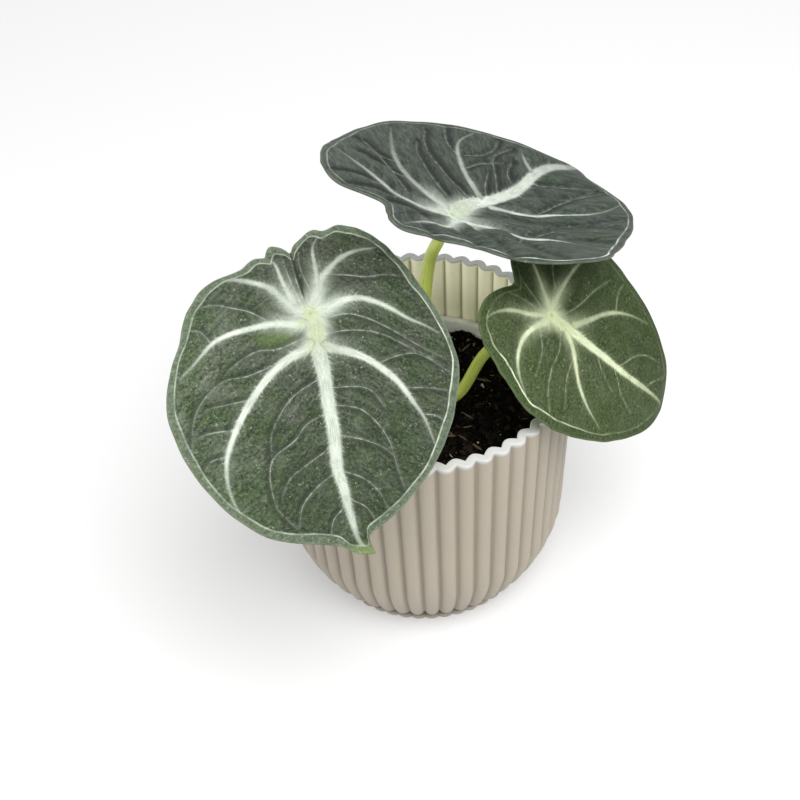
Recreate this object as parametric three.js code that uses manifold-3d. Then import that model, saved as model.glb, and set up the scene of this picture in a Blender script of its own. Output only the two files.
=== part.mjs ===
// A young ninja alocasia in its nursery pot, stood in a small fluted cover pot.
// Millimetres, +Z up. The origin is the centre of the cover pot's flat underside.
// The front of the plant, where the lowest leaf hangs over the rim, faces -Y.
import * as THREE from 'three';
import Module from 'manifold-3d';
import { mergeVertices } from 'three/addons/utils/BufferGeometryUtils.js';

const wasm = await Module();
wasm.setup();

const GAP = 0.3; // clearance left between neighbouring pieces
const MERGE = 1e-4; // points closer than this are one vertex

// Cover pot: a fluted tapering wall that curves in to a low foot
const POT = {
  height: 68,
  rimRadius: 37.5, // over the flutes' crests, at the rim
  taper: 0.03, // the wall leans in by this much per millimetre down
  curveHeight: 19.5, // below this height the wall curves in to the foot
  curvePower: 1.4,
  footRadius: 27.2, // where the curved wall would reach the ground
  footInset: 1.1, // the foot ring stands back from the wall by this
  footHeight: 1.2,
  wall: 2.0,
  floor: 2.2,
  flutes: 50,
  fluteDepth: 0.9,
  fluteRound: 2.2, // power of the scallop: 2 is an arc, more is flatter on top
  firstCrease: -85.4, // degrees, the crease just left of the front
  rimBevel: 0.55,
  columnsPerFlute: 6,
};

// Nursery pot: a thin plastic pot that stands on the cover pot's floor
const NURSERY = {
  bottomRadius: 24,
  topRadius: 32.3,
  lipRadius: 33.5,
  lipHeight: 1.5,
  rimHeight: 49, // above the ground, 19 below the cover pot's rim
  wall: 0.8,
  columns: 48,
  drainHoles: 6,
  drainRadius: 3,
  drainCircle: 15,
  drillDepth: 4,
  drillSides: 16,
};

const SOIL = { level: 46, columns: 66, topRings: 10 };

// Crumbs on the soil: waves that never line up, each [across, back, phase, height]
const CRUMBS = [
  [0.83, 0.31, 0.4, 0.4],
  [-0.52, 0.88, 1.9, 0.36],
  [1.37, -0.92, 0.2, 0.24],
  [0.58, 1.51, 2, 0.2],
  [-1.6, -0.7, 3.1, 0.16],
];

// Crown: the short stem that the leaf stalks grow from, half sunk in the soil
const CROWN = [[0, 30], [3.2, 31.5], [6.6, 36], [7.4, 41], [6.8, 45.5], [4.6, 47.8], [0, 48.4]];
const CROWN_SIDES = 20;
const STALK_SOCKET = 5; // how far a stalk's foot goes down into the crown

// Blades: the grid runs from the stalk's attachment out to the margin
const BLADE = {
  columns: 40,
  rings: 10,
  tipBias: 0.45, // columns crowd towards the drip tip by this share
  thickness: 0.8,
  marginThickness: 0.6,
  ribDepth: 0.7, // the midrib's ridge under the blade, at the attachment
  ribWidth: 2.0,
  quilt: 0.55, // height of the cushions between the main veins
  quiltReach: 3.2,
  funnelDepth: 0.6, // the dip where the stalk joins
  funnelRadius: 5,
};

// Each leaf: where its stalk joins the blade, how the blade faces, its form and its outline.
// heading and pitch turn the midrib, roll turns the blade about it, all in degrees.
// form: droop along the midrib from a start, droop to each side, and droop of the tip.
// outline: [bearing from the midrib in degrees, positive to the blade's own right; reach].
// veins: [across, along] points on the blade, the midrib first.
const LEAVES = {
  left: {
    attach: [-21.5, -23.5, 104.7],
    heading: -80,
    pitch: 30,
    roll: 8,
    form: { along: 0.002, alongFrom: 0, right: 0.0035, left: 0.0035, tip: 0, tipFrom: 46 },
    tipBearing: -5.5,
    outline: [
      [-168, 18.3], [-153, 20.8], [-138, 22.3], [-117, 23], [-104, 24.2], [-91, 26.3], [-78, 29.2],
      [-65, 33], [-50, 35.9], [-35, 39], [-20, 42.7], [-13, 44.4], [-8.5, 45.8], [-5.5, 51],
      [-2.5, 48.6], [2, 48.2], [10, 47.2], [21, 46.8], [35, 43.5], [49, 39.3], [64, 35.6],
      [75, 31.8], [84, 28], [100, 25], [114, 22.2], [128, 17.7], [144, 15.9], [160, 16.2],
      [171, 13.4], [180, 15.5],
    ],
    veins: [
      [[0, 0], [0, 14], [0, 28], [0, 36], [-1.3, 45], [-4, 50]],
      [[0, 0], [-6, -1.4], [-11, -1.5], [-16, 0.7], [-21, 3.5], [-27, 7]],
      [[0, 7], [-6, 9], [-12, 12.5], [-16, 17.7], [-19, 22.5], [-21, 30.5]],
      [[0, 0], [7, 1.8], [13, 1.7], [18, 3], [22.5, 5], [29.5, 10.5]],
      [[0, 7], [6, 10.3], [11.5, 13.5], [16.5, 18.5], [20, 23], [22, 28], [22.3, 35], [19, 40]],
      [[0, 0], [-3, -6.5], [-6, -9.5], [-11, -12], [-17, -13]],
      [[0, 0], [4.5, -3.8], [7.7, -7.4], [11.4, -9], [20, -9]],
    ],
  },
  top: {
    attach: [9.3, -1.4, 111.1],
    heading: 51,
    pitch: 27,
    roll: -14,
    form: { along: -0.0029, alongFrom: -6, right: -0.0104, left: 0.0024, tip: 0.03, tipFrom: 41 },
    tipBearing: 0,
    outline: [
      [-168, 20.7], [-156, 19.6], [-149, 22], [-143, 27], [-132, 29.8], [-118, 31.2], [-103, 32.3],
      [-86, 34.2], [-70, 38.2], [-57, 41.7], [-40, 43], [-24, 43.6], [-12, 44.8], [-5, 47.6],
      [0, 52.5], [5, 48.4], [11, 46.8], [22, 46], [31, 43.9], [42, 40.3], [56, 36.3], [74, 34.3],
      [88, 33.8], [98, 30], [107, 26.3], [115, 21.5], [124, 18.2], [142, 17.4], [160, 18.6],
      [180, 22.4],
    ],
    veins: [
      [[0, 0], [-1, 8], [0, 20], [-1, 28], [-2.3, 38], [-0.5, 46], [0, 52]],
      [[-0.5, 11], [-4.8, 14.7], [-11.4, 19], [-18, 24.7], [-21, 29.3], [-21.3, 36.4]],
      [[0, 0], [-7.4, 0], [-13.4, 1], [-20, 4.8], [-26.6, 10.7], [-33, 18]],
      [[0, 0], [-4.3, -7.5], [-8.4, -9.4], [-15, -9], [-22.7, -7.7], [-30.3, -6.7]],
      [[1, 11], [5.4, 16.2], [8.8, 19.8], [11.8, 25.6], [16.7, 32.3], [18, 40.6]],
      [[0, 0], [6, 2], [9.5, 5], [15, 7.3], [20, 11], [25.6, 10.7], [30.2, 10.9]],
      [[0, 0], [3.5, -7], [1, -11], [0, -18.6]],
    ],
  },
  right: {
    attach: [30.6, -10, 87.8],
    heading: -6,
    pitch: 45,
    roll: -24,
    form: { along: 0.002, alongFrom: 0, right: 0.003, left: 0.003, tip: 0.06, tipFrom: 37 },
    tipBearing: -2,
    outline: [
      [-172, 14.5], [-162, 18], [-150, 20.4], [-135, 21.3], [-120, 21.6], [-105, 22], [-90, 23],
      [-76, 24.5], [-65, 26], [-55, 27.7], [-45, 29.7], [-35, 32.8], [-24, 36.2], [-12, 39.8],
      [-2, 41.5], [8, 39.4], [20, 35.4], [31, 32.1], [42, 29.3], [55, 26.5], [70, 24.1], [86, 22.3],
      [100, 20.7], [116, 20.1], [132, 20.9], [148, 20.8], [161, 18.2], [170, 15.2], [180, 13],
    ],
    veins: [
      [[0, 0], [0.3, 8], [0, 22.5], [-0.9, 32.6], [-1.5, 40]],
      [[0, 0], [-5, -0.5], [-10, 0.5], [-16, 2.6], [-21, 5]],
      [[0, 0], [-4.3, -5.3], [-7.6, -9.8], [-10, -13]],
      [[0, 0], [3.5, -6], [4.8, -9.2], [6.6, -12], [11, -15.7]],
      [[0, 0], [6, -3.7], [9.3, -5], [14.8, -4], [17.3, -2], [19.4, 0.7]],
      [[0.5, 5], [3.8, 8.3], [7, 11], [10.2, 13.8], [13, 18], [15.3, 23.4]],
      [[0, 6], [-5.4, 10.3], [-9, 13.6], [-12, 17.4], [-14, 21.7], [-15.7, 28]],
    ],
  },
};

// Leaf stalks: the foot in the crown, points on the way up, and the radius at foot and top.
// The last stretch runs along the blade's normal, up to its underside.
const STALKS = {
  left: { foot: [-2.5, -1.5], way: [[-9, -6.5, 66], [-18.5, -13.5, 84]], radii: [2.0, 1.5], lead: 7 },
  top: { foot: [0.2, 2.7], way: [[0.8, 3, 66], [2.7, 2.3, 86], [4, 1.4, 96]], radii: [2.1, 1.5], lead: 5 },
  right: { foot: [2.6, -1.2], way: [[9.6, -2.6, 56.7], [16.2, -5, 72.4]], radii: [1.9, 1.3], lead: 5 },
};
const STALK_SIDES = 10;
const STALK_STEPS = 20;

const FINISHES = {
  cover_pot: { color: 0xdcd6cb, roughness: 0.55 },
  nursery_pot: { color: 0x8f8f8b, roughness: 0.5 },
  soil: { color: 0x1d1713, roughness: 0.95 },
  crown: { color: 0x76803f, roughness: 0.6 },
  petiole: { color: 0x9db548, roughness: 0.45 },
  blade: { color: 0x4b5d4a, roughness: 0.55 },
};

// A closed body from rings of equal length, each end closed by a fan to its own centre point
function closedSkin(rings, firstPole, lastPole) {
  const count = rings[0].length;
  const points = [firstPole, ...rings.flat(), lastPole];
  const last = points.length - 1;
  const at = (ring, column) => 1 + ring * count + (column % count);
  const index = [];
  for (let c = 0; c < count; c++) {
    index.push(0, at(0, c + 1), at(0, c));
    index.push(last, at(rings.length - 1, c), at(rings.length - 1, c + 1));
    for (let r = 0; r + 1 < rings.length; r++) {
      index.push(at(r, c), at(r, c + 1), at(r + 1, c + 1));
      index.push(at(r, c), at(r + 1, c + 1), at(r + 1, c));
    }
  }
  return faceOutwards(points.flatMap((p) => [p.x, p.y, p.z]), index);
}

// A geometry whose triangles are turned over when they enclose a negative volume
function faceOutwards(positions, index) {
  const corner = (i) => new THREE.Vector3().fromArray(positions, 3 * index[i]);
  let volume = 0;
  for (let i = 0; i < index.length; i += 3) {
    volume += corner(i).dot(corner(i + 1).cross(corner(i + 2)));
  }
  const turned = index.slice();
  if (volume < 0) {
    for (let i = 0; i < turned.length; i += 3) {
      [turned[i + 1], turned[i + 2]] = [turned[i + 2], turned[i + 1]];
    }
  }
  const geometry = new THREE.BufferGeometry();
  geometry.setAttribute('position', new THREE.Float32BufferAttribute(positions, 3));
  geometry.setIndex(turned);
  return geometry;
}

function toSolid(geometry) {
  const bare = geometry.clone();
  bare.deleteAttribute('normal');
  bare.deleteAttribute('uv');
  const merged = mergeVertices(bare, MERGE);
  return new wasm.Manifold(new wasm.Mesh({
    numProp: 3,
    vertProperties: new Float32Array(merged.getAttribute('position').array),
    triVerts: new Uint32Array(merged.getIndex().array),
  }));
}

function toGeometry(solid) {
  const mesh = solid.getMesh();
  const geometry = new THREE.BufferGeometry();
  geometry.setAttribute('position', new THREE.Float32BufferAttribute(mesh.vertProperties, 3));
  geometry.setIndex([...mesh.triVerts]);
  return geometry;
}

function piece(name, geometry, finish) {
  geometry.computeVertexNormals();
  const material = new THREE.MeshStandardMaterial({ ...finish, metalness: 0 });
  const mesh = new THREE.Mesh(geometry, material);
  mesh.name = name;
  return mesh;
}

// A ring of points round the Z axis, with a radius that may depend on the column
function ringAt(columns, height, radiusOf) {
  return Array.from({ length: columns }, (_, i) => {
    const turn = i / columns;
    const angle = THREE.MathUtils.degToRad(POT.firstCrease) + turn * 2 * Math.PI;
    const radius = radiusOf(turn);
    return new THREE.Vector3(radius * Math.cos(angle), radius * Math.sin(angle), height);
  });
}

// Radius over the crests: a straight taper, drawn in to the foot along a superellipse
function potRadius(z) {
  const straight = POT.rimRadius - POT.taper * (POT.height - z);
  const down = Math.max(0, (POT.curveHeight - z) / POT.curveHeight);
  const pull = 1 - (1 - down ** POT.curvePower) ** (1 / POT.curvePower);
  return straight - (POT.rimRadius - POT.taper * POT.height - POT.footRadius) * pull;
}

// 1 on a flute's crest and 0 in the crease between two flutes
function scallop(flute) {
  const part = flute - Math.floor(flute);
  return 1 - Math.abs(2 * part - 1) ** POT.fluteRound;
}

// The outer wall bulges out between its creases. The inner wall bulges in behind each crease,
// so the wall keeps one thickness and the rim is a wavy band.
function coverPot() {
  const columns = POT.flutes * POT.columnsPerFlute;
  const outer = (z, less = 0) => ringAt(columns, z, (turn) => {
    const dip = POT.fluteDepth * (1 - scallop(turn * POT.flutes));
    return potRadius(z) - dip - less;
  });
  const inner = (z, more = 0) => ringAt(columns, z, (turn) => {
    const bulge = POT.fluteDepth * scallop(turn * POT.flutes + 0.5);
    return potRadius(z) - POT.wall - bulge + more;
  });
  const shoulder = POT.height - POT.rimBevel;
  const rings = [
    outer(0, POT.footInset),
    outer(POT.footHeight, POT.footInset),
    outer(POT.footHeight),
    outer(4),
    outer(9),
    outer(POT.curveHeight),
    outer(shoulder),
    outer(POT.height, POT.rimBevel),
    inner(POT.height, POT.rimBevel),
    inner(shoulder),
    inner(POT.curveHeight),
    inner(8),
    inner(POT.floor),
  ];
  return closedSkin(rings, new THREE.Vector3(0, 0, 0), new THREE.Vector3(0, 0, POT.floor));
}

const nurseryFloor = POT.floor + GAP;

function nurseryRadius(z) {
  const share = (z - nurseryFloor) / (NURSERY.rimHeight - nurseryFloor);
  return NURSERY.bottomRadius + (NURSERY.topRadius - NURSERY.bottomRadius) * share;
}

function nurseryPot() {
  const ring = (z, radius) => ringAt(NURSERY.columns, z, () => radius);
  const lip = NURSERY.rimHeight - NURSERY.lipHeight;
  const inside = nurseryFloor + NURSERY.wall;
  const body = closedSkin([
    ring(nurseryFloor, NURSERY.bottomRadius),
    ring(lip, nurseryRadius(lip)),
    ring(lip, NURSERY.lipRadius),
    ring(NURSERY.rimHeight, NURSERY.lipRadius),
    ring(NURSERY.rimHeight, nurseryRadius(NURSERY.rimHeight) - NURSERY.wall),
    ring(inside, nurseryRadius(inside) - NURSERY.wall),
  ], new THREE.Vector3(0, 0, nurseryFloor), new THREE.Vector3(0, 0, inside));
  let solid = toSolid(body);
  for (let i = 0; i < NURSERY.drainHoles; i++) {
    const angle = (i / NURSERY.drainHoles) * 2 * Math.PI;
    const hole = new THREE.CylinderGeometry(
      NURSERY.drainRadius, NURSERY.drainRadius, NURSERY.drillDepth, NURSERY.drillSides);
    hole.rotateX(Math.PI / 2);
    hole.translate(NURSERY.drainCircle * Math.cos(angle), NURSERY.drainCircle * Math.sin(angle), inside);
    solid = solid.subtract(toSolid(hole));
  }
  return toGeometry(solid);
}

function crumb(x, y) {
  return CRUMBS.reduce((sum, [across, back, phase, height]) => (
    sum + height * Math.sin(across * x + back * y + phase)), 0);
}

function soilBody() {
  const bottom = nurseryFloor + NURSERY.wall + GAP;
  const wallAt = (z) => nurseryRadius(z) - NURSERY.wall - GAP;
  const edge = wallAt(SOIL.level);
  const rings = [ringAt(SOIL.columns, bottom, () => wallAt(bottom))];
  for (let i = 0; i < SOIL.topRings; i++) {
    const radius = edge * (1 - i / SOIL.topRings);
    const ring = ringAt(SOIL.columns, SOIL.level, () => radius);
    const lift = i === 0 ? 0 : 1;
    ring.forEach((p) => { p.z += lift * crumb(p.x, p.y); });
    rings.push(ring);
  }
  return closedSkin(rings, new THREE.Vector3(0, 0, bottom), new THREE.Vector3(0, 0, SOIL.level));
}

// The crown's profile turned round the Z axis, grown by a clearance where it cuts its hole
function crownBody(grow = 0) {
  const profile = CROWN.slice(1, -1);
  const rings = profile.map(([radius, z]) => ringAt(CROWN_SIDES, z, () => radius + grow));
  const bottom = new THREE.Vector3(0, 0, CROWN[0][1] - grow);
  const top = new THREE.Vector3(0, 0, CROWN[CROWN.length - 1][1] + grow);
  return closedSkin(rings, bottom, top);
}

// The blade's own axes: across to its right, along the midrib, and up out of its face
function bladeAxes(leaf) {
  const [heading, pitch, roll] = [leaf.heading, leaf.pitch, leaf.roll].map(THREE.MathUtils.degToRad);
  const along = new THREE.Vector3(
    Math.cos(pitch) * Math.cos(heading), Math.cos(pitch) * Math.sin(heading), -Math.sin(pitch));
  const level = new THREE.Vector3(Math.sin(heading), -Math.cos(heading), 0);
  const upright = new THREE.Vector3().crossVectors(level, along);
  const across = level.clone().multiplyScalar(Math.cos(roll)).addScaledVector(upright, Math.sin(roll));
  const up = new THREE.Vector3().crossVectors(across, along);
  return { across, along, up };
}

// Reach of the margin at a bearing: a smooth closed curve through the outline's points
function marginReach(outline, bearing) {
  const n = outline.length;
  const first = outline[0][0];
  const b = first + ((((bearing - first) % 360) + 360) % 360);
  const point = (i) => {
    const lap = Math.floor(i / n);
    const [angle, reach] = outline[i - lap * n];
    return [angle + 360 * lap, reach];
  };
  let i = 0;
  while (point(i + 1)[0] <= b) i++;
  const [p0, p1, p2, p3] = [point(i - 1), point(i), point(i + 1), point(i + 2)];
  const span = p2[0] - p1[0];
  const slope = (a, c) => ((c[1] - a[1]) / (c[0] - a[0])) * span;
  const t = (b - p1[0]) / span;
  const [m1, m2] = [slope(p0, p2), slope(p1, p3)];
  return (2 * t ** 3 - 3 * t ** 2 + 1) * p1[1] + (t ** 3 - 2 * t ** 2 + t) * m1
    + (3 * t ** 2 - 2 * t ** 3) * p2[1] + (t ** 3 - t ** 2) * m2;
}

// Large form of the blade: height above the plane through its attachment
function bladeForm(form, u, v) {
  const ahead = Math.max(v - form.alongFrom, 0);
  const atRoot = Math.max(-form.alongFrom, 0);
  const tip = Math.max(v - form.tipFrom, 0);
  const side = u < 0 ? form.left : form.right;
  return form.along * (atRoot ** 2 - ahead ** 2) - side * u ** 2 - form.tip * tip ** 2;
}

function distanceToLine(line, u, v) {
  let best = Infinity;
  for (let i = 0; i + 1 < line.length; i++) {
    const [[au, av], [bu, bv]] = [line[i], line[i + 1]];
    const [du, dv] = [bu - au, bv - av];
    const t = THREE.MathUtils.clamp(((u - au) * du + (v - av) * dv) / (du * du + dv * dv), 0, 1);
    best = Math.min(best, Math.hypot(u - au - t * du, v - av - t * dv));
  }
  return best;
}

// Both faces share one grid, so the blade keeps its thickness wherever it waves
function bladeBody(leaf) {
  const margin = (column) => {
    const s = (column / BLADE.columns) * 2 * Math.PI;
    return leaf.tipBearing + THREE.MathUtils.radToDeg(s - BLADE.tipBias * Math.sin(s));
  };
  const face = (t, under) => Array.from({ length: BLADE.columns }, (_, column) => {
    const bearing = margin(column);
    const reach = marginReach(leaf.outline, bearing) * t;
    const angle = THREE.MathUtils.degToRad(bearing);
    return bladePoint(leaf, reach * Math.sin(angle), reach * Math.cos(angle), t, under);
  });
  const steps = Array.from({ length: BLADE.rings }, (_, i) => (i + 1) / BLADE.rings);
  const rings = [
    ...steps.map((t) => face(t, false)),
    ...steps.slice().reverse().map((t) => face(t, true)),
  ];
  return closedSkin(rings, bladePoint(leaf, 0, 0, 0, false), bladePoint(leaf, 0, 0, 0, true));
}

function bladePoint(leaf, u, v, t, under) {
  const nearest = Math.min(...leaf.veins.map((line) => distanceToLine(line, u, v)));
  const cushion = BLADE.quilt * (1 - Math.exp(-((nearest / BLADE.quiltReach) ** 2))) * (1 - t ** 4);
  const funnel = BLADE.funnelDepth * Math.exp(-((Math.hypot(u, v) / BLADE.funnelRadius) ** 2));
  let w = bladeForm(leaf.form, u, v) + cushion - funnel;
  if (under) {
    const rib = Math.exp(-((distanceToLine(leaf.veins[0], u, v) / BLADE.ribWidth) ** 2));
    w -= THREE.MathUtils.lerp(BLADE.thickness, BLADE.marginThickness, t) + BLADE.ribDepth * rib * (1 - t);
  }
  return new THREE.Vector3(u, v, w);
}

function blade(name, leaf) {
  const mesh = piece(name, bladeBody(leaf), FINISHES.blade);
  const { across, along, up } = bladeAxes(leaf);
  mesh.position.set(...leaf.attach);
  mesh.quaternion.setFromRotationMatrix(new THREE.Matrix4().makeBasis(across, along, up));
  return mesh;
}

// The stalk's centre line: up out of the crown, then along the blade's normal to its underside
function stalkCurve(stalk, leaf) {
  const { up } = bladeAxes(leaf);
  const top = new THREE.Vector3(...leaf.attach);
  const reach = BLADE.funnelDepth + BLADE.thickness + BLADE.ribDepth + GAP;
  const crownTop = CROWN[CROWN.length - 1][1];
  const foot = new THREE.Vector3(...stalk.foot, crownTop - STALK_SOCKET);
  const collar = new THREE.Vector3(...stalk.foot, crownTop + 1);
  const way = stalk.way.map((p) => new THREE.Vector3(...p));
  const lead = top.clone().addScaledVector(up, -reach - stalk.lead);
  const end = top.clone().addScaledVector(up, -reach);
  return new THREE.CatmullRomCurve3([foot, collar, ...way, lead, end], false, 'centripetal');
}

// A round stalk that thins towards the blade; grow widens and lengthens it where it cuts a hole
function stalkBody(stalk, leaf, grow = 0) {
  const curve = stalkCurve(stalk, leaf);
  const frames = curve.computeFrenetFrames(STALK_STEPS, false);
  const rings = [];
  for (let i = 0; i <= STALK_STEPS; i++) {
    const t = i / STALK_STEPS;
    const centre = curve.getPointAt(t);
    if (i === 0) centre.addScaledVector(frames.tangents[0], -grow);
    const radius = THREE.MathUtils.lerp(stalk.radii[0], stalk.radii[1], t) + grow;
    rings.push(Array.from({ length: STALK_SIDES }, (_, k) => {
      const angle = (k / STALK_SIDES) * 2 * Math.PI;
      return centre.clone()
        .addScaledVector(frames.normals[i], radius * Math.cos(angle))
        .addScaledVector(frames.binormals[i], radius * Math.sin(angle));
    }));
  }
  const foot = curve.getPointAt(0).addScaledVector(frames.tangents[0], -grow);
  return closedSkin(rings, foot, curve.getPointAt(1));
}

const plant = new THREE.Group();
plant.add(piece('cover_pot', coverPot(), FINISHES.cover_pot));
plant.add(piece('nursery_pot', nurseryPot(), FINISHES.nursery_pot));

// The stalks stand in plain holes in the crown and in the soil
let crown = toSolid(crownBody());
let soil = toSolid(soilBody()).subtract(toSolid(crownBody(GAP)));
for (const [side, stalk] of Object.entries(STALKS)) {
  const hole = toSolid(stalkBody(stalk, LEAVES[side], GAP));
  crown = crown.subtract(hole);
  soil = soil.subtract(hole);
}
plant.add(piece('soil', toGeometry(soil), FINISHES.soil));
plant.add(piece('crown', toGeometry(crown), FINISHES.crown));

for (const [side, stalk] of Object.entries(STALKS)) {
  const leaf = LEAVES[side];
  const group = new THREE.Group();
  group.add(piece(`petiole_${side}`, stalkBody(stalk, leaf), FINISHES.petiole));
  group.add(blade(`blade_${side}`, leaf));
  plant.add(group);
}

export default plant;
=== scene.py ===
# %% [markdown]
# # A potted alocasia, leaf by leaf
#
# The subject is a young aroid with three shield-shaped leaves: dark velvet between silver
# veins, on lime stalks, in a nursery pot stood inside a small fluted cover pot.
# The construction comes first and is fixed. This lesson dresses it: every surface below is
# a formula on a grid, worked out with numpy, and every finish is a small sum of patterns.
# All sizes are in millimetres, which suits a small plant, and become metres in the mesh.

import bpy
import numpy as np
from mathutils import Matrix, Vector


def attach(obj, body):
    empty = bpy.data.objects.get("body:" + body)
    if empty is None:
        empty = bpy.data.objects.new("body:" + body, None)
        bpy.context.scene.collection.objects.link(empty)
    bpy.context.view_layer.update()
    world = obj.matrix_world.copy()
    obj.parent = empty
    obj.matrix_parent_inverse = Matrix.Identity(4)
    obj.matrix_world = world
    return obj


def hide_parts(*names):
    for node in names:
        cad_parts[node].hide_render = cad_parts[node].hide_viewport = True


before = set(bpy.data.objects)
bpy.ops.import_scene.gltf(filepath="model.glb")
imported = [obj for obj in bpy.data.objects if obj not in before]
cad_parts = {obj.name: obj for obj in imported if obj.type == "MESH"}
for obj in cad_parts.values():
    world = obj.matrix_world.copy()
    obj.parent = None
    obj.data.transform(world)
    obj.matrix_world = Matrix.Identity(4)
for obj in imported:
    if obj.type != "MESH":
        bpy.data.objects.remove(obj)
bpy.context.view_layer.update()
print("nodes to dress:", ", ".join(sorted(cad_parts)))

MM = 0.001
BODY = "root"

# %% [markdown]
# ## The camera
#
# The camera stands in front of the plant and looks down on it by 46 degrees. Its place, turn
# and lens were fitted together, so that points on the pot fall where they should, and are
# fixed here as seven numbers. Depth of field stays off.

# %% Camera
CAMERA_PLACE = (0.0, -0.23411, 0.29698)
CAMERA_TURN = (43.709, 2.602, -1.554)  # degrees about X, Y and Z
LENS, SENSOR = 61.88, 36.0

camera = bpy.data.objects.new("camera", bpy.data.cameras.new("camera"))
camera.location = CAMERA_PLACE
camera.rotation_euler = np.radians(CAMERA_TURN)
camera.data.lens = LENS
camera.data.sensor_width = SENSOR
camera.data.clip_start = 0.01
bpy.context.scene.collection.objects.link(camera)
bpy.context.scene.camera = camera
print("camera looks down by", round(90 - CAMERA_TURN[0], 1), "degrees")

# %% [markdown]
# ## From arrays to meshes
#
# Almost every piece here is a closed skin: rings of points, one inside or above the other,
# with a fan at each end. One function joins such rings, whatever shape they have. It could
# be done with Blender's lathe and loft tools, but arrays keep every vertex under control,
# and a value can be stored on each vertex for the finishes to read.

# %% Closed skins and pieces
def closed_skin(rings, first_pole, last_pole):
    """Points, four-sided faces and end triangles of a closed body.

    rings has the shape (rings, columns, 3). Each ring joins the next, and a fan joins each
    end ring to its pole. The faces are turned over if they enclose a negative volume.
    """
    rings = np.asarray(rings, float)
    count, columns = rings.shape[:2]
    points = np.vstack([first_pole, rings.reshape(-1, 3), last_pole])
    here = 1 + np.arange(count * columns).reshape(count, columns)
    beside = np.roll(here, -1, axis=1)
    quads = np.stack([here[:-1], beside[:-1], beside[1:], here[1:]], -1).reshape(-1, 4)
    first = np.stack([np.zeros(columns, int), beside[0], here[0]], -1)
    last = np.stack([np.full(columns, len(points) - 1), here[-1], beside[-1]], -1)
    fans = np.vstack([first, last])
    triangles = np.vstack([fans, quads[:, :3], quads[:, [0, 2, 3]]])
    a, b, c = points[triangles].transpose(1, 0, 2)
    if np.einsum("ij,ij->", a, np.cross(b, c)) < 0:
        quads, fans = quads[:, ::-1], fans[:, ::-1]
    return points, [quads, fans]


def new_piece(name, points, faces, finishes, replaces=(), values=None):
    """A smooth mesh in the frame's own place, riding on the pot, with values on its vertices."""
    mesh = bpy.data.meshes.new(name)
    rows = [row for group in faces for row in group.tolist()]
    mesh.from_pydata((np.asarray(points) * MM).tolist(), [], rows)
    mesh.polygons.foreach_set("use_smooth", np.ones(len(rows), bool))
    for key, value in (values or {}).items():
        store = mesh.attributes.new(key, "FLOAT", "POINT")
        store.data.foreach_set("value", np.asarray(value, np.float32))
    for finish in finishes:
        mesh.materials.append(finish)
    piece = bpy.data.objects.new(name, mesh)
    bpy.context.scene.collection.objects.link(piece)
    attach(piece, BODY)
    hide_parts(*replaces)
    span = np.ptp(points, axis=0).round(1)
    print(f"{name}: {len(rows)} faces, {span[0]} x {span[1]} x {span[2]} mm")
    return piece


def circle_of(columns, start=0.0):
    """Angles of evenly spaced columns round the Z axis, in radians, from a start in degrees."""
    return np.radians(start) + np.arange(columns) / columns * 2 * np.pi


def turned(radius, height, angle):
    """Points at a radius and height round the Z axis: x is r cos a, y is r sin a."""
    radius, height, angle = np.broadcast_arrays(radius, height, angle)
    return np.stack([radius * np.cos(angle), radius * np.sin(angle), height], -1)


# %% [markdown]
# Nature is never even, so many surfaces get a little noise. Value noise is the simplest
# kind: random heights on a square lattice, joined by smooth steps. Each call names its own
# seed, so the plant comes out the same every time.

# %% Value noise
LATTICE = 64


def lumps(x, y, cell, seed):
    """Value noise from -1 to 1 whose lumps are about one cell wide.

    The four lattice heights round a point are blended by 3 t^2 - 2 t^3 in each direction.
    """
    heights = np.random.default_rng(seed).uniform(-1, 1, (LATTICE, LATTICE))
    i, j = np.floor(x / cell), np.floor(y / cell)
    across, up = x / cell - i, y / cell - j
    across, up = across ** 2 * (3 - 2 * across), up ** 2 * (3 - 2 * up)
    i, j = i.astype(int) % LATTICE, j.astype(int) % LATTICE
    i_next, j_next = (i + 1) % LATTICE, (j + 1) % LATTICE
    near = heights[i, j] * (1 - across) + heights[i_next, j] * across
    far = heights[i, j_next] * (1 - across) + heights[i_next, j_next] * across
    return near * (1 - up) + far * up


# %% [markdown]
# ## Shader maths in Python
#
# A finish is a sum: a base colour, plus a vein here, minus a shadow there. In the node
# editor that takes dozens of Math nodes. Here a small class wraps a socket, so that an
# expression such as 1 - mask * 0.5 adds those nodes itself.

# %% Wires and finishes
class Wire:
    """A number that varies over a surface. + - and * on it add Math nodes."""

    def __init__(self, finish, socket):
        self.finish, self.socket = finish, socket

    def __add__(self, other):
        return self.finish.maths("ADD", self, other)

    def __sub__(self, other):
        return self.finish.maths("SUBTRACT", self, other)

    def __rsub__(self, other):
        return self.finish.maths("SUBTRACT", other, self)

    def __mul__(self, other):
        return self.finish.maths("MULTIPLY", self, other)

    __radd__, __rmul__ = __add__, __mul__

    def size(self):
        """The number without its sign."""
        return self.finish.maths("ABSOLUTE", self)

    def between(self, low, high):
        """0 at low, 1 at high, and a smooth step between; high may be the lower number."""
        return self.finish.node("ShaderNodeMapRange", {"interpolation_type": "SMOOTHSTEP"},
                                {"Value": self, "From Min": low, "From Max": high})


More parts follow.
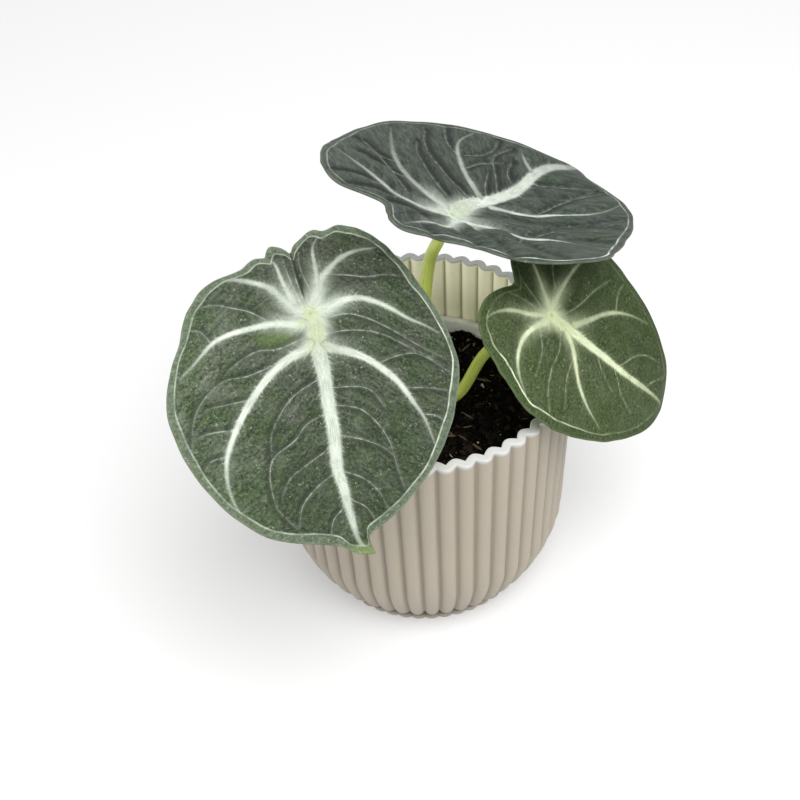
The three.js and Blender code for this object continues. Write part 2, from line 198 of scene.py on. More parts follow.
class Finish:
    """A material with one Principled shader, and short names for the nodes that feed it."""

    def __init__(self, name):
        self.material = bpy.data.materials.new(name)
        self.material.use_nodes = True
        self.nodes = self.material.node_tree.nodes
        self.links = self.material.node_tree.links
        self.shader = next(n for n in self.nodes if n.type == "BSDF_PRINCIPLED")

    def node(self, kind, settings=None, sockets=None, output=0):
        """Any node: its settings are set first, then its sockets are given values or links."""
        node = self.nodes.new(kind)
        for key, value in (settings or {}).items():
            setattr(node, key, value)
        for key, value in (sockets or {}).items():
            self.feed(node, key, value)
        return Wire(self, node.outputs[output])

    def feed(self, node, key, value):
        """Gives one socket, found by its number, identifier or name, a link or a value."""
        if isinstance(key, int):
            socket = node.inputs[key]
        else:
            named = [s for s in node.inputs if s.identifier == key]
            socket = (named or [node.inputs[key]])[0]
        if isinstance(value, Wire):
            self.links.new(value.socket, socket)
        elif socket.type == "RGBA":
            socket.default_value = (*value, 1.0)
        else:
            socket.default_value = value

    def maths(self, operation, *numbers):
        """A Math node that joins numbers or wires."""
        return self.node("ShaderNodeMath", {"operation": operation}, dict(enumerate(numbers)))

    def attribute(self, name):
        """A value stored on the vertices."""
        return self.node("ShaderNodeAttribute", {"attribute_name": name}, output=2)

    def place(self):
        """Object coordinates in millimetres."""
        where = self.node("ShaderNodeTexCoord", output=3)
        return self.node("ShaderNodeVectorMath", {"operation": "SCALE"}, {0: where, "Scale": 1 / MM})

    def vector(self, *numbers):
        """Three numbers or wires as one vector."""
        return self.node("ShaderNodeCombineXYZ", None, dict(enumerate(numbers)))

    def height(self):
        """Height above the ground in millimetres."""
        return self.node("ShaderNodeSeparateXYZ", None, {0: self.place()}, output=2)

    def noise(self, where, per_mm, detail=2.0, rough=0.5, warp=0.0):
        """Cloudy noise from 0 to 1, with so many lumps in a millimetre."""
        return self.node("ShaderNodeTexNoise", None,
                         {"Vector": where, "Scale": per_mm, "Detail": detail,
                          "Roughness": rough, "Distortion": warp})

    def borders(self, where, per_mm):
        """Distance to the borders of a pattern of cells, with so many cells in a millimetre."""
        return self.node("ShaderNodeTexVoronoi", {"feature": "DISTANCE_TO_EDGE"},
                         {"Vector": where, "Scale": per_mm})

    def mix(self, first, second, share):
        """A colour between two colours, by a share from 0 to 1."""
        return self.node("ShaderNodeMix", {"data_type": "RGBA"},
                         {"Factor_Float": share, "A_Color": first, "B_Color": second}, output=2)

    def tint(self, colour, strength):
        """A colour made lighter or darker by a varying number."""
        return self.node("ShaderNodeVectorMath", {"operation": "SCALE"}, {0: colour, "Scale": strength})

    def relief(self, height):
        """A Bump node for a height in millimetres."""
        return self.node("ShaderNodeBump", None, {"Height": height, "Distance": MM, "Strength": 1.0})

    def shade(self, **sockets):
        """Feeds the shader; base_color stands for its Base Color socket, and so on."""
        for key, value in sockets.items():
            title = "Specular IOR Level" if key == "specular" else key.replace("_", " ").title()
            self.feed(self.shader, title, value)
        return self.material


# %% [markdown]
# ## The cover pot
#
# The pot is moulded in one piece: fifty flutes bulge outwards between sharp creases, and
# the inside of the wall repeats them half a step later, so that the rim is a wavy band of
# one width. A modeller could array one flute and bend it. A formula for the radius is
# shorter, because the flutes, the taper and the drawn-in foot simply add up.

# %% Cover pot: sizes and radius
POT_HEIGHT, RIM_RADIUS, TAPER = 68.0, 37.5, 0.03
CURVE_HEIGHT, CURVE_POWER, FOOT_RADIUS = 19.5, 1.4, 27.2
FOOT_INSET = 1.1
WALL, POT_FLOOR = 2.0, 2.2
FLUTES, FLUTE_DEPTH, FLUTE_ROUND, FIRST_CREASE = 50, 1.4, 2.3, -85.4
INNER_DEPTH = 1.0  # depth of the flutes on the inside, low in the pot
DEEPEN_FROM, DEEPEN_OVER = 52, 14  # from this height up they deepen, over this much
COLUMNS_PER_FLUTE = 14
RIM_ROUND = 0.4
BASE_RECESS = 0.6
TUCK, TUCK_HEIGHT = 2.0, 8.0  # the wall turns in a little more above its foot ring
RING_RADIUS, RING_HEIGHT, RING_FLUTE = 28.8, 1.3, 0.6
SOFT_FROM, SOFT_SHARE = 66.2, 0.3  # above this the creases soften by so much


def pot_radius(z):
    """Radius over the crests: a straight taper, drawn in to the foot along a superellipse,
    and once more by a square just above the foot ring."""
    straight = RIM_RADIUS - TAPER * (POT_HEIGHT - z)
    down = np.maximum(0, (CURVE_HEIGHT - z) / CURVE_HEIGHT)
    pull = 1 - (1 - down ** CURVE_POWER) ** (1 / CURVE_POWER)
    tuck = TUCK * np.maximum(0, (TUCK_HEIGHT - z) / TUCK_HEIGHT) ** 2
    return straight - (RIM_RADIUS - TAPER * POT_HEIGHT - FOOT_RADIUS) * pull - tuck


def scallop(flute, z):
    """1 on a crest and 0 in a crease: one minus the distance from the crest to a power. Near
    the rim it is mixed with half of one minus a cosine, which has no sharp creases."""
    sharp = 1 - np.abs(2 * (flute % 1) - 1) ** FLUTE_ROUND
    wave = 0.5 - 0.5 * np.cos(2 * np.pi * flute)
    soft = SOFT_SHARE * np.clip((z - SOFT_FROM) / (POT_HEIGHT - SOFT_FROM), 0, 1)
    return sharp + (wave - sharp) * soft


def outer_wall(z, less, turn, depth=FLUTE_DEPTH):
    """Radius outside: the crests', minus a depth times one minus the scallop, minus an inset."""
    return pot_radius(z) - depth * (1 - scallop(turn * FLUTES, z)) - less


def inner_wall(z, more, turn):
    """Radius inside: the crests', minus the wall, minus a depth times the scallop half a flute
    further round, plus an outset. The depth grows towards the rim."""
    depth = INNER_DEPTH + (FLUTE_DEPTH - INNER_DEPTH) * np.clip((z - DEEPEN_FROM) / DEEPEN_OVER, 0, 1)
    return pot_radius(z) - WALL - depth * scallop(turn * FLUTES + 0.5, z) + more


# %% Cover pot: rings from the base, up the outside, over the rim and down the inside
UNDERSIDE = [  # share of the base's radius, and height
    (0.1, BASE_RECESS), (0.6, BASE_RECESS), (0.86, BASE_RECESS), (0.88, 0.05), (0.9, 0.0), (0.97, 0.0),
]
FOOT_RING = [  # height, and distance outside the ring's own radius
    (0.05, -0.4), (0.2, -0.1), (0.5, 0), (RING_HEIGHT - 0.3, 0), (RING_HEIGHT - 0.1, -0.08),
    (RING_HEIGHT, -0.3),
]
ABOVE_RING = [(RING_HEIGHT + 0.02, 0.15), (1.5, 0.25), (1.75, 0.05)]  # height, and inset
NEAR_RIM = [66.3, 66.8, 67.2]
INSIDE_FLOOR = [(3.2, -0.3), (2.5, -1.0), (POT_FLOOR, -2.2)]  # height, and outset


def cover_pot_rings():
    """Each ring has one height and a radius that waves with the flutes: a recessed underside,
    a low foot ring with flatter flutes, the wall outside, the rim and the wall inside.

    The rim is two quarter circles: their height is h - b (1 - sin a), their inset b (1 - cos a).
    """
    turn = np.arange(FLUTES * COLUMNS_PER_FLUTE) / (FLUTES * COLUMNS_PER_FLUTE)
    angle = circle_of(len(turn), FIRST_CREASE)
    base = FOOT_RADIUS - FOOT_INSET - FLUTE_DEPTH
    rings = [turned(base * share, z, angle) for share, z in UNDERSIDE]
    for z, out in FOOT_RING:
        inset = pot_radius(z) - RING_RADIUS - out
        rings.append(turned(outer_wall(z, inset, turn, RING_FLUTE), z, angle))
    arc = np.radians(np.linspace(0, 90, 7))
    rim = list(zip(POT_HEIGHT - RIM_ROUND * (1 - np.sin(arc)), RIM_ROUND * (1 - np.cos(arc))))
    up = np.concatenate([np.linspace(2.1, CURVE_HEIGHT, 22), np.linspace(23, 65.6, 14), NEAR_RIM])
    outside = ABOVE_RING + [(z, 0.0) for z in up] + rim
    rings += [turned(outer_wall(z, less, turn), z, angle) for z, less in outside]
    down = np.concatenate([NEAR_RIM[::-1], np.linspace(65.6, CURVE_HEIGHT, 16), np.linspace(17, 4.5, 9)])
    inside = rim[::-1] + [(z, 0.0) for z in down] + INSIDE_FLOOR
    rings += [turned(inner_wall(z, more, turn), z, angle) for z, more in inside]
    return rings


# %% Cover pot: finish
def moulded_plastic():
    """Warm white matte plastic, faintly cloudy and finely grained: painted light whitens the rim,
    and painted shade darkens the creases and the wall above the foot. Inside, a lighter colour
    and a painted glow stand in for light that comes through the wall."""
    finish = Finish("moulded_plastic")
    where = finish.place()
    cloud = finish.noise(where, 0.05, 3.0)
    dust = finish.noise(where, 0.6, 4.0, 0.6).between(0.55, 0.75)
    height = finish.height()
    low = height.between(67.7, 66.6)
    inside = finish.attribute("inside")
    # Painted light: the inside wall below the rim gets a lighter, creamier colour, for light coming
    # through the wall.
    painted_inside_light = inside * height.between(67.95, 67.6)
    # Painted light: the rim is painted whiter than the wall below it, for light falling on its top.
    colour = finish.mix((0.52, 0.52, 0.505), (0.37, 0.325, 0.257), low)
    # Painted shade: the wall is darkened from 16 mm down to just above the foot ring, where it turns
    # under.
    painted_foot_shade = height.between(16.0, 2.0) * height.between(1.25, 1.5)
    colour = finish.mix(colour, (0.2, 0.165, 0.125), painted_foot_shade * 0.45)
    colour = finish.mix(colour, (0.76, 0.74, 0.54), painted_inside_light)
    # Painted shade: below the rim the creases are darkened, where shade falls in them.
    colour = finish.mix(colour, (0.22, 0.19, 0.145), finish.attribute("crease") * 0.68 * low)
    colour = finish.mix(colour, (0.34, 0.31, 0.25), dust * 0.12)
    colour = finish.tint(colour, 0.93 + cloud * 0.14)
    grain = finish.noise(where, 5.0, 2.0) * 0.006 + finish.noise(where, 0.4, 2.0) * 0.03
    # Painted glow: the inside below the rim emits a little light, as if it came through the wall, more
    # towards the top and less in the creases.
    glow = painted_inside_light * (0.4 + height.between(50.0, 66.0)) * (1 - finish.attribute("crease") * 0.7)
    return finish.shade(base_color=colour, roughness=0.42 + cloud * 0.12, specular=0.4,
                        emission_color=finish.tint((0.19, 0.185, 0.135), glow), emission_strength=1.0,
                        normal=finish.relief(grain))


# %% Cover pot: mesh, with the creases and the inside marked for the finish
CREASE_HALF = 0.09  # half width of a crease's painted shade, as a share of a flute
rings = cover_pot_rings()
points, faces = closed_skin(rings, (0, 0, BASE_RECESS), (0, 0, POT_FLOOR))
columns = FLUTES * COLUMNS_PER_FLUTE
rim_ring = int(points[1:-1, 2].reshape(-1, columns)[:, 0].argmax())
is_inside = np.repeat(np.arange(len(rings)) > rim_ring, columns).astype(float)
flute = np.tile(np.arange(columns) / COLUMNS_PER_FLUTE, len(rings)) + 0.5 * is_inside
crease = np.exp(-(np.abs((flute + 0.5) % 1 - 0.5) / CREASE_HALF) ** 2)
marks = {"crease": np.concatenate([[0], crease, [0]]), "inside": np.concatenate([[0], is_inside, [1]])}
new_piece("cover_pot_shell", points, faces, [moulded_plastic()], ["cover_pot"], marks)

# %% [markdown]
# ## The nursery pot
#
# Inside stands the thin grey pot that the plant was sold in. Only its rim shows, a rolled
# lip behind the stalks. It is a plain lathe shape, closed over its own inside, and its six
# drain holes are cut with a Boolean modifier that is applied straight away.

# %% Nursery pot
NURSERY_BOTTOM, NURSERY_TOP, NURSERY_LIP, NURSERY_RIM = 24.0, 32.3, 33.5, 49.0
NURSERY_WALL, GAP = 0.8, 0.3
NURSERY_FLOOR = POT_FLOOR + GAP
DRAINS, DRAIN_RADIUS, DRAIN_CIRCLE = 6, 3.0, 15.0
DRILL_FROM, DRILL_TO = 1.0, 5.0  # heights that the drill for the drain holes reaches over


def nursery_radius(z):
    """Outside radius of the nursery pot: a straight line from its floor to its rim."""
    share = (z - NURSERY_FLOOR) / (NURSERY_RIM - NURSERY_FLOOR)
    return NURSERY_BOTTOM + (NURSERY_TOP - NURSERY_BOTTOM) * share


def nursery_rings(columns=240):
    """A profile of (radius, height) carried round the axis: up the outside, over the rolled lip
    and down the inside."""
    climb = np.linspace(3.3, 46.8, 12)
    profile = [(12, NURSERY_FLOOR), (23.2, NURSERY_FLOOR), (23.8, NURSERY_FLOOR + 0.25)]
    profile += [(nursery_radius(z), z) for z in climb]
    profile += [(32.3, 47.6), (33.2, 47.9), (NURSERY_LIP - 0.05, 48.2), (NURSERY_LIP, 48.9),
                (NURSERY_LIP - 0.1, 49.7), (33.1, 50.05), (32.5, 50.15), (31.9, 50.0), (31.6, 49.6)]
    profile += [(nursery_radius(z) - NURSERY_WALL, z) for z in climb[::-1]]
    profile += [(22.8, NURSERY_FLOOR + NURSERY_WALL + 0.1), (12, NURSERY_FLOOR + NURSERY_WALL)]
    angle = circle_of(columns)
    return [turned(radius, z, angle) for radius, z in profile]


def thin_plastic():
    """Grey film-thin plastic: slightly streaky, with a dull gloss, rougher in patches that turn near black
    towards its low parts.
    """
    finish = Finish("thin_plastic")
    where = finish.place()
    cloud = finish.noise(where, 0.15, 3.0)
    dust = finish.noise(where, 1.2, 4.0, 0.65).between(0.5, 0.68)
    colour = finish.mix((0.76, 0.77, 0.74), (0.56, 0.57, 0.53), cloud.between(0.4, 0.6))
    # The rough patches are darkened towards the low parts, near the soil.
    colour = finish.mix(colour, (0.055, 0.038, 0.026), dust * finish.height().between(49.0, 46.0) * 0.8)
    return finish.shade(base_color=colour, roughness=0.38 + dust * 0.3, specular=0.5,
                        normal=finish.relief(finish.noise(where, 2.0, 2.0) * 0.02))


def apply_modifiers(piece):
    """Replaces the piece's mesh by the result of its modifiers."""
    graph = bpy.context.evaluated_depsgraph_get()
    finished = bpy.data.meshes.new_from_object(piece.evaluated_get(graph))
    piece.modifiers.clear()
    piece.data = finished


def cut_drain(pot, bearing):
    """Cuts one round hole through the pot's floor with a Boolean modifier."""
    middle = np.array([np.cos(bearing), np.sin(bearing), 0]) * DRAIN_CIRCLE
    rings = [turned(DRAIN_RADIUS, z, circle_of(32)) + middle for z in (DRILL_FROM, DRILL_TO)]
    points, faces = closed_skin(rings, middle + (0, 0, DRILL_FROM), middle + (0, 0, DRILL_TO))
    mesh = bpy.data.meshes.new("drill")
    mesh.from_pydata((points * MM).tolist(), [], [row for group in faces for row in group.tolist()])
    drill = bpy.data.objects.new("drill", mesh)
    bpy.context.scene.collection.objects.link(drill)
    cut = pot.modifiers.new("drain", "BOOLEAN")
    cut.operation, cut.solver, cut.object = "DIFFERENCE", "EXACT", drill
    apply_modifiers(pot)
    bpy.data.objects.remove(drill)


points, faces = closed_skin(nursery_rings(), (0, 0, NURSERY_FLOOR), (0, 0, NURSERY_FLOOR + NURSERY_WALL))
nursery = new_piece("nursery_pot_shell", points, faces, [thin_plastic()], ["nursery_pot"])
for bearing in circle_of(DRAINS):
    cut_drain(nursery, bearing)
print("nursery pot after its drain holes:", len(nursery.data.polygons), "faces")

# %% [markdown]
# ## The soil
#
# Potting mix is black peat with bark, sand and a little perlite. Up close it has no smooth
# skin at all, so it is made in two layers: a disc whose height is noise at three scales,
# and hundreds of loose crumbs, each a small rounded lump of its own size, turn and tone.
# A displacement modifier could make the disc, but the crumbs also have to know its height.

# %% Soil: the bed
SOIL_LEVEL = 46.0
SOIL_WAVES = [(0.83, 0.31, 0.4, 0.4), (-0.52, 0.88, 1.9, 0.36), (1.37, -0.92, 0.2, 0.24)]
SOIL_LUMPS = [(3.4, 0.75, 11), (1.5, 0.55, 12), (0.7, 0.3, 13)]  # cell, height and seed
HEAP, HEAP_RADIUS, HEAP_WIDTH = 0.8, 8, 4  # soil heaped in a ring round the crown
RISE, RISE_OVER = 1.6, 28  # and rising towards the back


def soil_edge(z):
    """Radius of the soil: the nursery pot's, minus its wall and a small gap."""
    return nursery_radius(z) - NURSERY_WALL - GAP


def soil_height(x, y):
    """The level, plus long waves that never line up, plus lumps at three scales, plus a ring
    heaped round the crown and a square that rises to the back."""
    long = sum(h * np.sin(a * x + b * y + phase) for a, b, phase, h in SOIL_WAVES)
    fine = sum(h * lumps(x, y, cell, seed) for cell, h, seed in SOIL_LUMPS)
    heap = HEAP * np.exp(-((np.hypot(x, y) - HEAP_RADIUS) / HEAP_WIDTH) ** 2)
    rise = RISE * (y / RISE_OVER).clip(0, 1) ** 2
    return SOIL_LEVEL + 0.6 * long + fine + (heap + rise)


def soil_rings(columns=300, circles=66):
    """A wall up to the level, then circles that close in on the middle over the waves."""
    angle = circle_of(columns)
    bottom = NURSERY_FLOOR + NURSERY_WALL + GAP
    rings = [turned(soil_edge(z), z, angle) for z in (bottom, 25.0, SOIL_LEVEL - 1.5)]
    for share in np.linspace(1, 0, circles, endpoint=False):
        flat = turned(soil_edge(SOIL_LEVEL) * share, SOIL_LEVEL, angle)
        flat[:, 2] = soil_height(flat[:, 0], flat[:, 1])
        rings.append(flat)
    return rings, (0, 0, bottom)


def peat():
    """Almost black damp peat: brown where it has dried, with a few pale grains of sand."""
    finish = Finish("peat")
    where = finish.place()
    dry = finish.noise(where, 0.35, 4.0, 0.6)
    grain = finish.noise(where, 2.5, 3.0, 0.6)
    sand = finish.noise(where, 3.1, 1.0).between(0.71, 0.76)
    colour = finish.mix((0.0014, 0.0011, 0.0008), (0.014, 0.01, 0.0068), dry.between(0.45, 0.75))
    colour = finish.mix(colour, (0.03, 0.02, 0.012), grain.between(0.6, 0.8) * 0.3)
    colour = finish.mix(colour, (0.3, 0.25, 0.18), sand * 0.6)
    return finish.shade(base_color=colour, roughness=0.9, specular=0.05,
                        normal=finish.relief(grain * 0.35 + dry * 0.3))


bed, bottom_pole = soil_rings()
points, faces = closed_skin(bed, bottom_pole, (0, 0, float(soil_height(np.zeros(1), np.zeros(1))[0])))
new_piece("soil_bed", points, faces, [peat()], ["soil"])

# %% Soil: loose crumbs
CRUMB_KINDS = [  # count, smallest and largest half size, flatness, slimness, tone from 0 to 1
    (520, 0.35, 1.0, 0.7, 0.5, 0.12),
    (170, 0.5, 1.5, 0.45, 0.4, 0.45),
    (50, 0.25, 0.9, 0.5, 0.3, 0.75),
    (34, 0.18, 0.5, 0.7, 0.5, 1.0),
    (44, 0.8, 2.4, 0.2, 0.1, 0.7),
    (16, 0.5, 1.2, 0.3, 0.2, 0.95),
]
CRUMB_SIDES, CRUMB_RINGS = 7, 4
CROWN_CLEAR, EDGE_CLEAR = 5.0, 1.6  # crumbs are centred this far from the middle and the edge


def crumb_shape():
    """A unit ball of a few faces: rings of points at sin and cos of the height angle."""
    tilt = np.radians(np.linspace(-90, 90, CRUMB_RINGS + 2)[1:-1])
    rings = [turned(np.cos(t), np.sin(t), circle_of(CRUMB_SIDES, 360 / CRUMB_SIDES / 2 * k))
             for k, t in enumerate(tilt)]
    return closed_skin(rings, (0, 0, -1), (0, 0, 1))


def scattered_crumbs():
    """Copies of the unit ball, each jittered, squashed, turned and set on the soil."""
    draw = np.random.default_rng(21)
    ball, groups = crumb_shape()
    count = sum(kind[0] for kind in CRUMB_KINDS)
    low, high, flat, slim, tone = (np.repeat([k[i] for k in CRUMB_KINDS], [k[0] for k in CRUMB_KINDS])
                                   for i in (1, 2, 3, 4, 5))
    half = low + (high - low) * draw.random(count) ** 2
    shape = ball[None] * (1 + 0.28 * draw.standard_normal((count, len(ball), 1)).clip(-1, 1))
    across = half * draw.uniform(slim, 2 * slim)
    deep = half * flat * draw.uniform(0.6, 1, count)
    shape = shape * np.stack([half, across, deep], -1)[:, None, :]
    spin, lean = draw.uniform(0, 2 * np.pi, count), draw.normal(0, 0.45, count)
    x, y, z = shape[..., 0], shape[..., 1], shape[..., 2]
    lean, spin = lean[:, None], spin[:, None]
    y, z = y * np.cos(lean) - z * np.sin(lean), y * np.sin(lean) + z * np.cos(lean)
    x, y = x * np.cos(spin) - y * np.sin(spin), x * np.sin(spin) + y * np.cos(spin)
    room = soil_edge(SOIL_LEVEL) - EDGE_CLEAR - CROWN_CLEAR
    reach = CROWN_CLEAR + room * np.sqrt(draw.random(count))
    bearing = draw.uniform(0, 2 * np.pi, count)
    px, py = reach * np.cos(bearing), reach * np.sin(bearing)
    pz = soil_height(px, py) + half * 0.15
    points = np.stack([x + px[:, None], y + py[:, None], z + pz[:, None]], -1)
    step = (np.arange(count) * len(ball))[:, None, None]
    faces = [(group[None] + step).reshape(-1, group.shape[1]) for group in groups]
    return points.reshape(-1, 3), faces, np.repeat(tone, len(ball))


def crumb_finish():
    """One finish for every crumb: a tone on the vertices runs from peat by bark to perlite."""
    finish = Finish("crumbs")
    where = finish.place()
    tone, grain = finish.attribute("tone"), finish.noise(where, 2.0, 3.0, 0.6)
    colour = finish.mix((0.0018, 0.0014, 0.001), (0.018, 0.0135, 0.0095), tone.between(0.1, 0.5))
    colour = finish.mix(colour, (0.13, 0.1, 0.06), tone.between(0.5, 0.8))
    colour = finish.mix(colour, (0.4, 0.38, 0.32), tone.between(0.85, 1.0))
    return finish.shade(base_color=finish.tint(colour, 0.6 + grain * 0.8), roughness=0.9, specular=0.06,
                        normal=finish.relief(grain * 0.15))


points, faces, tone = scattered_crumbs()
new_piece("soil_crumbs", points, faces, [crumb_finish()], [], {"tone": tone})

# %% [markdown]
# ## The crown and the leaf stalks
#
# An alocasia's stem is a stub. The stalks rise from it one inside the other, each with a
# sheath round its foot. A stalk is a tube along a smooth curve, so it takes two things: the
# curve, worked out from a few chosen points, and a radius that changes along it.

# %% Crown
CROWN = [(0, 30), (3.2, 31.5), (6.6, 36), (7.4, 41), (6.8, 45.5), (4.6, 47.8), (0, 48.4)]


def through(points, steps):
    """A smooth line through points: between two of them, a cubic whose end slopes are set by
    the neighbours (centripetal Catmull-Rom), each stretch cut into the same number of steps."""
    p = np.asarray(points, float)
    p = np.vstack([2 * p[0] - p[1], p, 2 * p[-1] - p[-2]])
    gap = np.sqrt(np.linalg.norm(np.diff(p, axis=0), axis=1))
    line = []
    for i in range(1, len(p) - 2):
        before, here, after = gap[i - 1], gap[i], gap[i + 1]
        slopes = [(p[k + 1] - p[k]) / gap[k] for k in (i - 1, i, i + 1)]
        leave = slopes[0] - (p[i + 1] - p[i - 1]) / (before + here) + slopes[1]
        reach = slopes[1] - (p[i + 2] - p[i]) / (here + after) + slopes[2]
        t = np.linspace(0, 1, steps, endpoint=False)[:, None]
        line.append((2 * t ** 3 - 3 * t ** 2 + 1) * p[i] + (t ** 3 - 2 * t ** 2 + t) * leave * here
                    + (3 * t ** 2 - 2 * t ** 3) * p[i + 1] + (t ** 3 - t ** 2) * reach * here)
    return np.vstack([*line, p[-2:-1]])


def crown_rings(columns=120):
    """The crown's profile, smoothed, with ring scars where old leaves fell and a lumpy skin."""
    angle = circle_of(columns)
    rings = []
    for radius, z in through(CROWN, 8)[1:-1]:
        scar = 0.22 * np.abs(np.sin(z * 1.4)) - 0.15
        lump = 0.35 * lumps(angle * 6, np.full(columns, z), 2.0, 31) * np.cos(angle / 2) ** 2
        rings.append(turned(radius + scar + lump, z, angle))
    return rings


def green_stub():
    """Fleshy green stem, flecked with brown."""
    finish = Finish("green_stub")
    where = finish.place()
    fleck = finish.noise(where, 0.6, 4.0, 0.6)
    colour = finish.mix((0.17, 0.2, 0.06), (0.12, 0.075, 0.035), fleck.between(0.45, 0.62))
    return finish.shade(base_color=colour, roughness=0.55, normal=finish.relief(fleck * 0.25))


points, faces = closed_skin(crown_rings(), (0, 0, CROWN[0][1]), (0, 0, CROWN[-1][1]))
new_piece("crown_stub", points, faces, [green_stub()], ["crown"])

# %% [markdown]
# ## The leaves: where they are and how they face
#
# Each blade is a shield: the stalk joins it inside its outline, and the veins run out from
# there. So a blade has its own flat map, measured from the joint: across to its right and
# along its midrib. Outline and veins are drawn on that map, and the map is then bent,
# tilted and placed. The outline is a reach for each bearing, like a ship's radar.
#
# attach is the joint, and heading, pitch and roll turn the map, in degrees. form holds the
# factors of the droop, tip_bearing points at the drip tip, and hook curls it. relief is the
# strength of the fine relief at the left and at the right. dim is what the veins lose in
# brightness towards their ends, and midrib holds the first vein's widths. offset is how far
# in from the margin the pale line runs, margin_light its least brightness, and bright_margin
# the bearing, in radians, where it is brightest. seam is the fold between the two back
# lobes, seam_lift its height, and patch a greener spot: its place, length and width.

